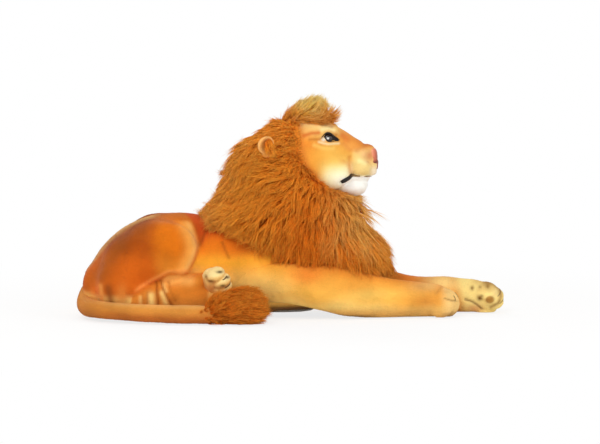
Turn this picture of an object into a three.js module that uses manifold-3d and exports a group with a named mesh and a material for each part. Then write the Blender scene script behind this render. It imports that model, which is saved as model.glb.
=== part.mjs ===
// A plush lion that lies on its belly with its head up and its forelegs stretched out.
// Millimetres. The lion faces +X, its left side is +Y, +Z is up and the floor is z = 0.
// The origin is on the floor in the middle of the belly. Every sewn and stuffed piece is a
// row of oval rings, and each smaller piece is cut to the larger ones that it is sewn to.
import * as THREE from "three";
import { mergeVertices } from "three/addons/utils/BufferGeometryUtils.js";
import Module from "manifold-3d";

const wasm = await Module();
wasm.setup();

// Clearances and cloth
const seam = 0.4; // between two pieces that are sewn together
const swing = 1.2; // between two pieces that turn past each other
const skin = 2.4; // short pile cloth with its backing
const felt = 1; // thin sewn-on patches
const overrun = 60; // how far a cutting shape runs past what it cuts

// Torso
const torso = { length: 360, width: 136, height: 146 };
// Each row: along the length, middle over the floor, half width, half height
const torsoShares = [
  [0.0, 0.32, 0.0, 0.0],
  [0.016, 0.31, 0.19, 0.17],
  [0.048, 0.34, 0.32, 0.276],
  [0.097, 0.375, 0.41, 0.375],
  [0.164, 0.43, 0.46, 0.44],
  [0.258, 0.47, 0.495, 0.49],
  [0.38, 0.486, 0.5, 0.492],
  [0.5, 0.462, 0.49, 0.476],
  [0.63, 0.462, 0.47, 0.484],
  [0.77, 0.475, 0.44, 0.497],
  [0.876, 0.472, 0.4, 0.459],
  [0.95, 0.458, 0.31, 0.363],
  [0.987, 0.452, 0.19, 0.22],
  [1.0, 0.452, 0.0, 0.0],
];

// Neck, whose lower part belongs to the torso and whose upper part belongs to the head
const neckPlaceShare = 0.2778; // of the torso's length, from the origin to the turning axis
const neck = { bottom: 70, height: 140, length: 180, width: 118 };
// Each row: up the height, middle ahead of the turning axis, half length, half width
const neckShares = [
  [0.0, -0.06, 0.0, 0.0],
  [0.08, -0.06, 0.33, 0.32],
  [0.3, -0.07, 0.49, 0.49],
  [0.57, -0.067, 0.411, 0.466],
  [0.79, 0.0, 0.34, 0.4],
  [0.95, 0.05, 0.22, 0.25],
  [1.0, 0.06, 0.0, 0.0],
];
const turnLevel = 150; // height of the seam that the head turns on

// Mane, one form that the turning seam divides into the crown and the collar
const mane = { bottom: 46, height: 233, length: 250, width: 182 };
// Each row: up the height, middle ahead of the turning axis, half length, half width
const maneShares = [
  [0.0, 0.42, 0.0, 0.0],
  [0.03, 0.32, 0.26, 0.17],
  [0.09, 0.27, 0.37, 0.27],
  [0.16, 0.19, 0.43, 0.36],
  [0.23, 0.11, 0.47, 0.42],
  [0.31, 0.03, 0.49, 0.462],
  [0.39, -0.018, 0.494, 0.488],
  [0.45, -0.014, 0.476, 0.495],
  [0.54, -0.01, 0.42, 0.484],
  [0.645, -0.04, 0.346, 0.456],
  [0.755, -0.066, 0.27, 0.412],
  [0.83, -0.058, 0.222, 0.374],
  [0.905, -0.03, 0.166, 0.3],
  [0.965, -0.012, 0.108, 0.19],
  [1.0, -0.005, 0.0, 0.0],
];
// Lower edge of the mane in side view, from the back to the shoulder: ahead of the turning
// axis, over the mane's bottom. In front of the shoulder it follows the forelegs' tops.
const hemShares = [
  [-0.8, 0.52],
  [-0.51, 0.438],
  [-0.4, 0.365],
  [-0.235, 0.295],
  [-0.14, 0.21],
  [-0.035, 0.172],
];
const hemGap = 1.6; // between the mane and the forelegs under it
// Front edge of the mane beside the face: ahead of the turning axis, over the mane's bottom
const hairlineShares = [
  [0.045, 1.2],
  [0.05, 0.955],
  [0.064, 0.815],
  [0.088, 0.72],
  [0.16, 0.64],
  [0.24, 0.567],
  [0.33, 0.524],
  [0.415, 0.5],
  [0.56, 0.482],
  [0.8, 0.482],
];

// Head
const head = { length: 135, width: 101, height: 110 };
const headBehindShare = 0.09; // of its length, how far it starts behind the turning axis
const headLift = 71; // of its middle over the turning seam
// Each row: along the length, middle over the head's middle, half width, half height
const headShares = [
  [0.0, 0.01, 0.0, 0.0],
  [0.044, 0.01, 0.26, 0.26],
  [0.133, 0.01, 0.42, 0.4],
  [0.267, 0.01, 0.495, 0.49],
  [0.415, 0.0, 0.5, 0.5],
  [0.533, 0.0, 0.45, 0.464],
  [0.622, -0.018, 0.38, 0.418],
  [0.711, -0.045, 0.31, 0.382],
  [0.8, -0.073, 0.25, 0.336],
  [0.89, -0.09, 0.19, 0.28],
  [0.963, -0.1, 0.11, 0.16],
  [1.0, -0.1, 0.0, 0.0],
];

// Muzzle and chin, both placed from the head's tip
const muzzle = { length: 52, width: 59, height: 51 };
const muzzleReach = 6.5; // ahead of the head's tip
const muzzleLift = -8.5; // of its middle against the head's middle
const muzzleShares = [
  [0.0, -0.05, 0.0, 0.0],
  [0.1, -0.05, 0.38, 0.3],
  [0.3, -0.01, 0.49, 0.44],
  [0.55, 0.0, 0.5, 0.5],
  [0.77, -0.02, 0.44, 0.46],
  [0.91, -0.05, 0.33, 0.36],
  [0.98, -0.07, 0.18, 0.2],
  [1.0, -0.07, 0.0, 0.0],
];
const chin = { length: 62, width: 50, height: 32 };
const chinSetback = 11; // of its tip behind the muzzle's tip
const chinDrop = 44; // of its middle below the head's middle
const chinShares = [
  [0.0, 0.12, 0.0, 0.0],
  [0.13, 0.08, 0.36, 0.3],
  [0.33, 0.02, 0.5, 0.44],
  [0.56, 0.0, 0.5, 0.5],
  [0.76, 0.0, 0.44, 0.47],
  [0.91, 0.04, 0.3, 0.32],
  [1.0, 0.06, 0.0, 0.0],
];

// Nose, mouth and eyes
const nose = { length: 20, width: 27, height: 25 };
const noseReach = 1; // ahead of the muzzle's tip
const noseLiftShare = 0.14; // of the muzzle's height
const mouthThread = 1.9; // radius of the mouth's cord
// The mouth's cord, from the left corner round the front to the right one, as shares of the
// muzzle's length behind its tip, its half width and its height over the muzzle's middle
const mouthShares = [
  [0.96, 0.98, -0.56],
  [0.72, 1.06, -0.42],
  [0.42, 0.97, -0.47],
  [0.18, 0.68, -0.47],
  [0.075, 0.0, -0.46],
  [0.18, -0.68, -0.47],
  [0.42, -0.97, -0.47],
  [0.72, -1.06, -0.42],
  [0.96, -0.98, -0.56],
];
const eye = { diameter: 13, dome: 4.6, shank: 4, shankLength: 11 };
const washer = { diameter: 15, thickness: 1.6, inset: 4.4 };
const liner = { length: 25, width: 14 };
const eyeAlongShare = 0.54; // of the head's length
const eyeTurnShare = 0.115; // of a full turn up from the side

// Ears
const ear = { length: 38, width: 33, depth: 15 };
const earDishShare = 0.76; // of the ear's size, the hollow in its front
const earDishShiftShare = 0.3; // of the ear's depth, how far the hollow is moved forward
const earLining = 1.4;
const earRoot = 7; // radius of the ear's gathered base
const earLevelShare = 0.795; // of the mane's height
const earPlaceShare = -0.14; // of the mane's half length there
const earLeanDegrees = { back: 20, out: 24, open: 60 };
const earStandShare = 0.53; // of its length, from the middle of its base to the ear's middle

// Forelock
const forelock = { length: 92, width: 60, height: 40 };
const forelockBehind = 15; // of its start behind the turning axis
const forelockLift = 68; // of its middle over the head's middle
const forelockShares = [
  [0.0, -0.4, 0.0, 0.0],
  [0.11, -0.27, 0.33, 0.24],
  [0.33, -0.08, 0.45, 0.38],
  [0.55, 0.0, 0.5, 0.5],
  [0.74, 0.0, 0.47, 0.47],
  [0.89, -0.06, 0.36, 0.37],
  [0.975, -0.14, 0.2, 0.22],
  [1.0, -0.17, 0.0, 0.0],
];

// Forelegs, from the middle of the round shoulder end to the tip of the paw
const foreleg = { width: 58, height: 82, shoulderSpread: 54, pawSpread: 28 };
const forelegReach = { right: 248, left: 305 };
const forelegPlaceShare = 0.2778; // of the torso's length, from the origin to the shoulder
// Each row: along the reach, share of the way in to the paw's line, half width,
// middle over the floor, half height
const forelegShares = [
  [0.0, 0.0, 0.5, 0.62, 0.36],
  [0.11, 0.04, 0.5, 0.59, 0.385],
  [0.24, 0.16, 0.48, 0.525, 0.42],
  [0.36, 0.32, 0.44, 0.445, 0.425],
  [0.56, 0.66, 0.4, 0.335, 0.35],
  [0.72, 0.92, 0.37, 0.295, 0.31],
  [0.81, 1.0, 0.36, 0.28, 0.29],
  [0.87, 1.0, 0.27, 0.27, 0.22],
  [0.9, 1.0, 0.0, 0.26, 0.0],
];
const shoulderRingCount = 5; // rings of the round end behind the shoulder
const turnGap = 0.9; // round a shoulder's or the tail's round end, which turns in its seat

// Paws
const forePaw = { length: 60, width: 50, height: 46 };
const hindPaw = { length: 44, width: 46, height: 36 };
const toeCount = 4;
const palmLengthShare = 0.74;
const palmHeightShare = 0.96;
const toeLengthShare = 0.52;
const toeHeightShare = 0.8;
const toeWidthShare = 1.16; // of an even part of the paw's width
const toeSetbackShare = 0.12; // of the paw's length, for the outer toes
const toeStitch = { width: 1.5, thickness: 0.9, lengthShare: 0.52, lowShare: -0.3 };
const forePawDegrees = { right: 0, left: -62 }; // roll about the leg
const hindPawDegrees = { yaw: -22, roll: -62 }; // for the right one
const hindPawReachShare = 0.76; // of the paw's length, beyond the foot

// Haunches
const haunch = { length: 126, width: 66, height: 98 };
const haunchBackShare = 0.083; // of the torso's length, from its back end
const haunchSpreadShare = 0.43; // of the torso's width
const haunchLevelShare = 0.59; // of the torso's height
const haunchShares = [
  [0.0, -0.17, 0.0, 0.0],
  [0.06, -0.14, 0.2, 0.2],
  [0.2, -0.08, 0.36, 0.37],
  [0.4, -0.01, 0.46, 0.48],
  [0.6, 0.02, 0.5, 0.5],
  [0.78, 0.04, 0.46, 0.45],
  [0.91, 0.05, 0.34, 0.32],
  [0.98, 0.07, 0.16, 0.15],
  [1.0, 0.08, 0.0, 0.0],
];

// Hind feet, from the hock forward to the paw
const hindFoot = { length: 145, width: 46, height: 52 };
const hindFootBackShare = 0.077; // of the torso's length, from its back end
const hindFootSpreadShare = 0.515; // of the torso's width
const hindFootShares = [
  [0.0, 0.46, 0.0, 0.0],
  [0.05, 0.46, 0.26, 0.28],
  [0.16, 0.47, 0.42, 0.45],
  [0.36, 0.5, 0.48, 0.5],
  [0.6, 0.6, 0.46, 0.46],
  [0.8, 0.78, 0.42, 0.38],
  [0.93, 0.94, 0.34, 0.3],
  [1.0, 1.02, 0.0, 0.0],
];

// Tail and its tuft
const tail = { rootRadius: 17, tipRadius: 11.5 };
const tailRoot = { behindShare: 0.468, level: 34 }; // of the torso's length behind the origin
// Path of the tail's middle: behind or ahead of the root as shares of the torso's length,
// sideways as shares of its width, and how far along the taper the thickness has come
const tailShares = [
  [0.0, 0.0, 0.0],
  [-0.029, -0.12, 0.05],
  [-0.031, -0.33, 0.12],
  [0.012, -0.58, 0.23],
  [0.09, -0.72, 0.36],
  [0.2, -0.82, 0.52],
  [0.36, -0.87, 0.72],
  [0.51, -0.86, 0.88],
  [0.61, -0.84, 1.0],
];
const tailRingCount = 15;
const tuft = { length: 92, width: 54, height: 52 };
const tuftStartShare = 0.432; // of the torso's length ahead of the tail's root
const tuftShares = [
  [0.0, 0.26, 0.0, 0.0],
  [0.09, 0.27, 0.27, 0.27],
  [0.26, 0.38, 0.4, 0.39],
  [0.5, 0.46, 0.49, 0.48],
  [0.7, 0.48, 0.5, 0.5],
  [0.86, 0.46, 0.39, 0.42],
  [0.96, 0.4, 0.2, 0.24],
  [1.0, 0.38, 0.0, 0.0],
];

// Rings around each kind of piece, and the full turn
const around = {
  torso: 18,
  mane: 18,
  head: 16,
  limb: 12,
  tail: 9,
  small: 7,
  inside: 8,
  eye: 10,
};
const fullTurn = 2 * Math.PI;
const X = new THREE.Vector3(1, 0, 0);
const Y = new THREE.Vector3(0, 1, 0);
const Z = new THREE.Vector3(0, 0, 1);
const sideOf = { left: 1, right: -1 };

// Solids from geometry, and back

function solidOf(geometry) {
  const bare = geometry.clone();
  bare.deleteAttribute("normal");
  bare.deleteAttribute("uv");
  const merged = mergeVertices(bare);
  return new wasm.Manifold(
    new wasm.Mesh({
      numProp: 3,
      vertProperties: new Float32Array(merged.attributes.position.array),
      triVerts: new Uint32Array(merged.index.array),
    }),
  );
}

function geometryOf(solid) {
  const { vertProperties, triVerts, numProp } = solid.getMesh();
  const points = new Float32Array((vertProperties.length / numProp) * 3);
  for (let i = 0; i < points.length / 3; i++) {
    points.set(vertProperties.subarray(i * numProp, i * numProp + 3), i * 3);
  }
  const geometry = new THREE.BufferGeometry();
  geometry.setAttribute("position", new THREE.BufferAttribute(points, 3));
  geometry.setIndex(new THREE.BufferAttribute(new Uint32Array(triVerts), 1));
  geometry.computeVertexNormals();
  return geometry;
}

const union = (solids) => solids.reduce((all, one) => all.add(one));
const cutBy = (solid, cutters) => cutters.reduce((left, cutter) => left.subtract(cutter), solid);

function largestBody(solid) {
  return solid.decompose().reduce((a, b) => (b.volume() > a.volume() ? b : a));
}

// Closed surface over rings of points, with a single point where a ring has no size.
// grow moves every point out along the surface's normal.
function softGeometry(rings, count) {
  const points = [];
  const rows = rings.map(({ at, side, up, wide, high }) => {
    const row = [];
    const number = wide === 0 && high === 0 ? 1 : count;
    for (let i = 0; i < number; i++) {
      const angle = (fullTurn * i) / count;
      const point = at
        .clone()
        .addScaledVector(side, wide * Math.cos(angle))
        .addScaledVector(up, high * Math.sin(angle));
      row.push(points.length);
      points.push(point);
    }
    return row;
  });
  const faces = [];
  for (let r = 0; r + 1 < rows.length; r++) {
    const [low, high] = [rows[r], rows[r + 1]];
    for (let i = 0; i < count; i++) {
      const j = (i + 1) % count;
      if (low.length > 1) faces.push(low[i], low[j], high[i % high.length]);
      if (high.length > 1) faces.push(low[j % low.length], high[j], high[i]);
    }
  }
  const geometry = new THREE.BufferGeometry().setFromPoints(points);
  geometry.setIndex(faces);
  geometry.computeVertexNormals();
  return geometry;
}

function softSolid(rings, count, grow = 0) {
  const geometry = softGeometry(rings, count);
  const { position, normal } = geometry.attributes;
  const turned = solidOf(geometry).volume() < 0;
  const outward = turned ? -grow : grow;
  for (let i = 0; i < position.count; i++) {
    position.setXYZ(
      i,
      position.getX(i) + normal.getX(i) * outward,
      position.getY(i) + normal.getY(i) * outward,
      position.getZ(i) + normal.getZ(i) * outward,
    );
  }
  if (turned) {
    const corners = geometry.index.array;
    for (let i = 0; i < corners.length; i += 3) {
      [corners[i + 1], corners[i + 2]] = [corners[i + 2], corners[i + 1]];
    }
  }
  return solidOf(geometry);
}

// Rings of a form that runs along +X from a start point, from its rows of shares
function ringsForward(start, size, shares) {
  return shares.map(([along, middle, wide, high]) => ({
    at: new THREE.Vector3(
      start.x + along * size.length,
      start.y,
      start.z + middle * size.height,
    ),
    side: Y,
    up: Z,
    wide: wide * size.width,
    high: high * size.height,
  }));
}

// Rings of a form that rises from its bottom round the turning axis
function ringsUpward(axisX, size, shares) {
  return shares.map(([rise, ahead, long, wide]) => ({
    at: new THREE.Vector3(axisX + ahead * size.length, 0, size.bottom + rise * size.height),
    side: Y,
    up: X,
    wide: wide * size.width,
    high: long * size.length,
  }));
}

// A point on a form's surface, and the way out of it, where a ring turns by a share
function surfaceOf(rings, alongShare, turnShare, sign) {
  const start = rings[0].at.x;
  const length = rings[rings.length - 1].at.x - start;
  const wanted = start + alongShare * length;
  const next = rings.findIndex((ring) => ring.at.x > wanted);
  const [a, b] = [rings[next - 1], rings[next]];
  const t = (wanted - a.at.x) / (b.at.x - a.at.x);
  const mix = (p, q) => p + (q - p) * t;
  const angle = fullTurn * turnShare;
  const on = (ring) =>
    new THREE.Vector3(
      ring.at.x,
      ring.at.y + sign * ring.wide * Math.cos(angle),
      ring.at.z + ring.high * Math.sin(angle),
    );
  const point = on(a).lerp(on(b), t);
  const across = new THREE.Vector3(
    0,
    sign * Math.cos(angle) * mix(a.high, b.high),
    Math.sin(angle) * mix(a.wide, b.wide),
  ).normalize();
  const slope = on(b).sub(on(a)).normalize();
  const out = across.addScaledVector(slope, -across.dot(slope)).normalize();
  return { point, out };
}

function ball(radii, centre, count = around.small) {
  const geometry = new THREE.SphereGeometry(1, count, Math.round(count / 2));
  geometry.scale(radii.x, radii.y, radii.z);
  geometry.translate(centre.x, centre.y, centre.z);
  return solidOf(geometry);
}

function slab(low, high) {
  const geometry = new THREE.BoxGeometry(high.x - low.x, high.y - low.y, high.z - low.z);
  const middle = low.clone().add(high).multiplyScalar(0.5);
  geometry.translate(middle.x, middle.y, middle.z);
  return solidOf(geometry);
}

// Everything between two heights, wide enough for the whole animal
function layer(low, high) {
  const reach = torso.length + forelegReach.left;
  return slab(new THREE.Vector3(-reach, -reach, low), new THREE.Vector3(reach, reach, high));
}

const aboveFloor = (solid, level = 0) => solid.subtract(layer(-overrun * 2, level));

// A side-view outline given as [x, z] points, cut right through the animal from side to side
function sideCutter(points) {
  const outline = new THREE.Shape(points.map(([x, z]) => new THREE.Vector2(x, z)));
  const depth = 2 * (mane.width + overrun);
  const geometry = new THREE.ExtrudeGeometry(outline, { depth, bevelEnabled: false });
  geometry.rotateX(Math.PI / 2);
  geometry.translate(0, depth / 2, 0);
  return solidOf(geometry);
}

// A matrix whose Z looks along a direction, for pieces that sit on a surface
function facing(point, out) {
  const turn = new THREE.Quaternion().setFromUnitVectors(Z, out);
  return new THREE.Matrix4().compose(point, turn, new THREE.Vector3(1, 1, 1));
}

const placed = (solid, matrix) => solid.transform(matrix.elements);

function cylinder(radius, low, high, count = around.eye) {
  const geometry = new THREE.CylinderGeometry(radius, radius, high - low, count);
  geometry.rotateX(Math.PI / 2);
  geometry.translate(0, 0, (low + high) / 2);
  return solidOf(geometry);
}

// A thin patch that follows a form: the part of a layer over it that a prism picks out
function patchOn(form, prism, thickness, under = seam) {
  return largestBody(form(under + thickness).subtract(form(under)).intersect(prism));
}

// Places that the pieces share
const axisX = torso.length * neckPlaceShare;
const headMiddle = turnLevel + headLift;
const headStart = new THREE.Vector3(axisX - headBehindShare * head.length, 0, headMiddle);
const headTip = headStart.x + head.length;
const muzzleTip = headTip + muzzleReach;
const shoulderX = torso.length * forelegPlaceShare;
const tailRootX = -torso.length * tailRoot.behindShare;
const torsoBack = -torso.length / 2;

// Forms, each as a function of how far it is grown
const torsoStart = new THREE.Vector3(torsoBack, 0, 0);
const torsoRings = ringsForward(torsoStart, torso, torsoShares);
const neckRings = ringsUpward(axisX, neck, neckShares);
const maneRings = ringsUpward(axisX, mane, maneShares);
const headRings = ringsForward(headStart, head, headShares);
const muzzleStart = new THREE.Vector3(muzzleTip - muzzle.length, 0, headMiddle + muzzleLift);
const muzzleRings = ringsForward(muzzleStart, muzzle, muzzleShares);
const chinStart = new THREE.Vector3(
  muzzleTip - chinSetback - chin.length,
  0,
  headMiddle - chinDrop,
);
const chinRings = ringsForward(chinStart, chin, chinShares);
const noseStart = new THREE.Vector3(
  muzzleTip + noseReach - nose.length,
  0,
  muzzleStart.z + noseLiftShare * muzzle.height,
);
const noseShares = [
  [0.0, 0.0, 0.0, 0.0],
  [0.15, 0.0, 0.34, 0.34],
  [0.5, 0.0, 0.5, 0.5],
  [0.8, 0.0, 0.4, 0.4],
  [0.95, 0.0, 0.2, 0.22],
  [1.0, 0.0, 0.0, 0.0],
];
const forelockStart = new THREE.Vector3(axisX - forelockBehind, 0, headMiddle + forelockLift);

const neckForm = (grow, count = around.head) => softSolid(neckRings, count, grow);
const torsoForm = (grow, count = around.torso) =>
  softSolid(torsoRings, count, grow).add(neckForm(grow, count));
const headForm = (grow, count = around.head) =>
  softSolid(headRings, count, grow).add(neckForm(grow, count));
const maneForm = (grow) => softSolid(maneRings, around.mane, grow);
const muzzleForm = (grow) => softSolid(muzzleRings, around.head, grow);
const chinForm = (grow) => softSolid(chinRings, around.limb, grow);
const noseForm = (grow) =>
  softSolid(ringsForward(noseStart, nose, noseShares), around.limb, grow);
const forelockForm = (grow) =>
  softSolid(ringsForward(forelockStart, forelock, forelockShares), around.limb, grow);

// A foreleg: a round end about the shoulder's upright axis, then a taper to the wrist
function forelegRings(name) {
  const sign = sideOf[name];
  const reach = forelegReach[name];
  const [, , wideShare, middleShare, highShare] = forelegShares[0];
  const radius = wideShare * foreleg.width;
  const behind = [];
  for (let i = 0; i < shoulderRingCount; i++) {
    const angle = (Math.PI / 2) * (1 - i / shoulderRingCount);
    behind.push({
      at: new THREE.Vector3(
        shoulderX - radius * Math.sin(angle),
        sign * foreleg.shoulderSpread,
        middleShare * foreleg.height,
      ),
      side: Y,
      up: Z,
      wide: i === 0 ? 0 : radius * Math.cos(angle),
      high: i === 0 ? 0 : highShare * foreleg.height * Math.cos(angle),
    });
  }
  const ahead = forelegShares.map(([along, inward, wide, middle, high]) => ({
    at: new THREE.Vector3(
      shoulderX + along * reach,
      sign * (foreleg.shoulderSpread + (foreleg.pawSpread - foreleg.shoulderSpread) * inward),
      middle * foreleg.height,
    ),
    side: Y,
    up: Z,
    wide: wide * foreleg.width,
    high: high * foreleg.height,
  }));
  return [...behind, ...ahead];
}
const forelegForm = (name, grow, count = around.limb) =>
  softSolid(forelegRings(name), count, grow);

// A paw in its own frame: the sole is down, the toes point to +X and the tip is at x = 0
function pawForm(size, grow) {
  const palm = new THREE.Vector3(
    (size.length * palmLengthShare) / 2 + grow,
    size.width / 2 + grow,
    (size.height * palmHeightShare) / 2 + grow,
  );
  const palmCentre = new THREE.Vector3(-size.length + (size.length * palmLengthShare) / 2, 0, 0);
  const toeStep = size.width / toeCount;
  const toe = new THREE.Vector3(
    (size.length * toeLengthShare) / 2 + grow,
    (toeStep * toeWidthShare) / 2 + grow,
    (size.height * toeHeightShare) / 2 + grow,
  );
  const toes = toePlaces(size).map(({ y, setback }) => {
    const x = -(size.length * toeLengthShare) / 2 - setback;
    const z = -(size.height * (palmHeightShare - toeHeightShare)) / 2;
    return ball(toe, new THREE.Vector3(x, y, z));
  });
  return union([ball(palm, palmCentre, around.limb), ...toes]);
}

// Toes across a paw, with the outer ones set back
function toePlaces(size) {
  const step = size.width / toeCount;
  return Array.from({ length: toeCount }, (_, i) => {
    const y = (i + 0.5) * step - size.width / 2;
    const outer = i === 0 || i === toeCount - 1;
    return { y, setback: outer ? toeSetbackShare * size.length : 0 };
  });
}

// The dark threads between a paw's toes, as patches in the valleys
function toeStitches(size) {
  const step = size.width / toeCount;
  return Array.from({ length: toeCount - 1 }, (_, i) => {
    const y = (i + 1) * step - size.width / 2;
    const half = toeStitch.width / 2;
    const strip = slab(
      new THREE.Vector3(-size.length * toeStitch.lengthShare, y - half, toeStitch.lowShare * size.height),
      new THREE.Vector3(overrun, y + half, size.height),
    );
    return patchOn((grow) => pawForm(size, grow), strip, toeStitch.thickness);
  });
}

// The round socket in the torso that a foreleg's shoulder end turns in
function shoulderRoom(name) {
  const [, , wideShare, middleShare, highShare] = forelegShares[0];
  const round = wideShare * foreleg.width + turnGap;
  const high = highShare * foreleg.height + turnGap;
  const y = sideOf[name] * foreleg.shoulderSpread;
  const centre = new THREE.Vector3(shoulderX, y, middleShare * foreleg.height);
  return ball(new THREE.Vector3(round, round, high), centre, around.limb + 2);
}

// Where a paw's own frame goes
function pawMatrix(tip, roll, yaw = 0) {
  const turn = new THREE.Quaternion().setFromEuler(
    new THREE.Euler(THREE.MathUtils.degToRad(roll), 0, THREE.MathUtils.degToRad(yaw), "ZYX"),
  );
  return new THREE.Matrix4().compose(tip, turn, new THREE.Vector3(1, 1, 1));
}

function forePawMatrix(name) {
  const tip = new THREE.Vector3(
    shoulderX + forelegReach[name],
    sideOf[name] * foreleg.pawSpread,
    (forePaw.height * palmHeightShare) / 2,
  );
  return pawMatrix(tip, forePawDegrees[name]);
}

const haunchForm = (name, grow) => {
  const start = new THREE.Vector3(
    torsoBack + haunchBackShare * torso.length,
    sideOf[name] * haunchSpreadShare * torso.width,
    haunchLevelShare * torso.height,
  );
  return softSolid(ringsForward(start, haunch, haunchShares), around.limb, grow);
};

const hindFootStart = (name) =>
  new THREE.Vector3(
    torsoBack + hindFootBackShare * torso.length,
    sideOf[name] * hindFootSpreadShare * torso.width,
    0,
  );
const hindFootForm = (name, grow) =>
  softSolid(ringsForward(hindFootStart(name), hindFoot, hindFootShares), around.limb, grow);

function hindPawMatrix(name) {
  const sign = sideOf[name];
  const [, endShare] = hindFootShares[hindFootShares.length - 1];
  const yaw = -sign * hindPawDegrees.yaw;
  const wrist = hindFootStart(name).add(
    new THREE.Vector3(hindFoot.length, 0, endShare * hindFoot.height),
  );
  const forward = X.clone().applyAxisAngle(Z, THREE.MathUtils.degToRad(yaw));
  const tip = wrist.addScaledVector(forward, hindPaw.length * hindPawReachShare);
  return pawMatrix(tip, -sign * hindPawDegrees.roll, yaw);
}

// The tail: rings square to a smooth path that starts at the root and lies on the floor
function tailPath() {
  return new THREE.CatmullRomCurve3(
    tailShares.map(([ahead, sideways, taper]) => {
      const radius = tail.rootRadius + (tail.tipRadius - tail.rootRadius) * taper;
      const drop = Math.min(1, taper / tailShares[2][2]);
      const level = tailRoot.level + (radius - tailRoot.level) * drop;
      return new THREE.Vector3(
        tailRootX + ahead * torso.length,
        sideways * torso.width,
        level,
      );
    }),
  );
}

function tailForm(grow) {
  const path = tailPath();
  const rings = [];
  for (let i = 0; i <= tailRingCount; i++) {
    const t = i / tailRingCount;
    const along = path.getTangentAt(t);
    const side = new THREE.Vector3().crossVectors(along, Z).normalize();
    const up = new THREE.Vector3().crossVectors(side, along);
    const end = i === 0 || i === tailRingCount;
    const radius = end ? 0 : tail.rootRadius + (tail.tipRadius - tail.rootRadius) * t;
    rings.push({ at: path.getPointAt(t), side, up, wide: radius, high: radius });
  }
  const root = tail.rootRadius + grow;
  return softSolid(rings, around.tail, grow).add(
    ball(new THREE.Vector3(root, root, root), path.getPointAt(0), around.limb),
  );
}

const tuftStart = () => {
  const [, sideways] = tailShares[tailShares.length - 1];
  const x = tailRootX + tuftStartShare * torso.length;
  return new THREE.Vector3(x, sideways * torso.width, 0);
};
const tuftForm = (grow) =>
  softSolid(ringsForward(tuftStart(), tuft, tuftShares), around.limb, grow);

// How far an ear folds towards the mane on either side of rest, in degrees
const earFoldDegrees = { back: 10, front: 20 };

// The socket in the rump for the tail's round root
function tailRoom(grow) {
  const near = slab(
    new THREE.Vector3(torsoBack - overrun, -torso.width / 2, -overrun),
    new THREE.Vector3(tailRootX + tail.rootRadius * 2, torso.width / 2, overrun * 2),
  );
  return tailForm(grow).intersect(near);
}

// The round socket that the tail's root turns in
function tailSocket() {
  const root = tail.rootRadius + turnGap;
  return ball(new THREE.Vector3(root, root, root), tailPath().getPointAt(0), around.limb + 2);
}

// The stuffed torso: its skin, open at the neck, and the fill inside it
function torsoPieces() {
  const clear = (grow, count) => [
    tailRoom(turnGap + grow),
    forelegForm("left", turnGap + grow, count),
    forelegForm("right", turnGap + grow, count),
  ];
  const sockets = [shoulderRoom("left"), shoulderRoom("right"), tailSocket()];
  const inside = (grow) =>
    cutBy(aboveFloor(torsoForm(-grow, around.inside), grow), clear(grow, around.inside));
  const outer = cutBy(aboveFloor(torsoForm(0)), [...clear(0), ...sockets]);
  const hollow = inside(skin);
  const inner = inside(skin + seam);
  const top = layer(turnLevel, turnLevel + neck.height);
  return {
    torso_skin: largestBody(outer.subtract(hollow).subtract(top)),
    torso_fill: largestBody(inner.subtract(top)),
  };
}

// Eye parts in their own frame: z = 0 is the head's surface and +Z looks out of it
function eyeParts() {
  const back = seam + felt + seam;
  const radius = eye.diameter / 2;
  const profile = [new THREE.Vector2(0, -eye.shankLength)];
  profile.push(new THREE.Vector2(eye.shank / 2, -eye.shankLength));
  profile.push(new THREE.Vector2(eye.shank / 2, back));
  profile.push(new THREE.Vector2(radius, back));
  const steps = 5;
  for (let i = 1; i < steps; i++) {
    const angle = (Math.PI / 2) * (i / steps);
    profile.push(
      new THREE.Vector2(radius * Math.cos(angle), back + eye.dome * Math.sin(angle)),
    );
  }
  profile.push(new THREE.Vector2(0, back + eye.dome));
  const lathe = new THREE.LatheGeometry(profile, around.eye);
  lathe.rotateX(Math.PI / 2);
  const dome = solidOf(lathe);
  const low = -skin - washer.inset - washer.thickness;
  const high = -skin - washer.inset;
  const ring = cylinder(washer.diameter / 2, low, high).subtract(
    cylinder(eye.shank / 2 + seam, low - overrun, high + overrun),
  );
  return { dome: dome.volume() < 0 ? null : dome, ring, low };
}

// A pointed oval, for the dark felt behind the eye
function almond(length, width) {
  const outline = new THREE.Shape();
  outline.moveTo(-length / 2, 0);
  outline.quadraticCurveTo(0, width, length / 2, 0);
  outline.quadraticCurveTo(0, -width, -length / 2, 0);
  const depth = overrun / 2;
  const geometry = new THREE.ExtrudeGeometry(outline, { depth, bevelEnabled: false, curveSegments: 6 });
  geometry.translate(0, 0, -depth / 2);
  return solidOf(geometry);
}

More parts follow.
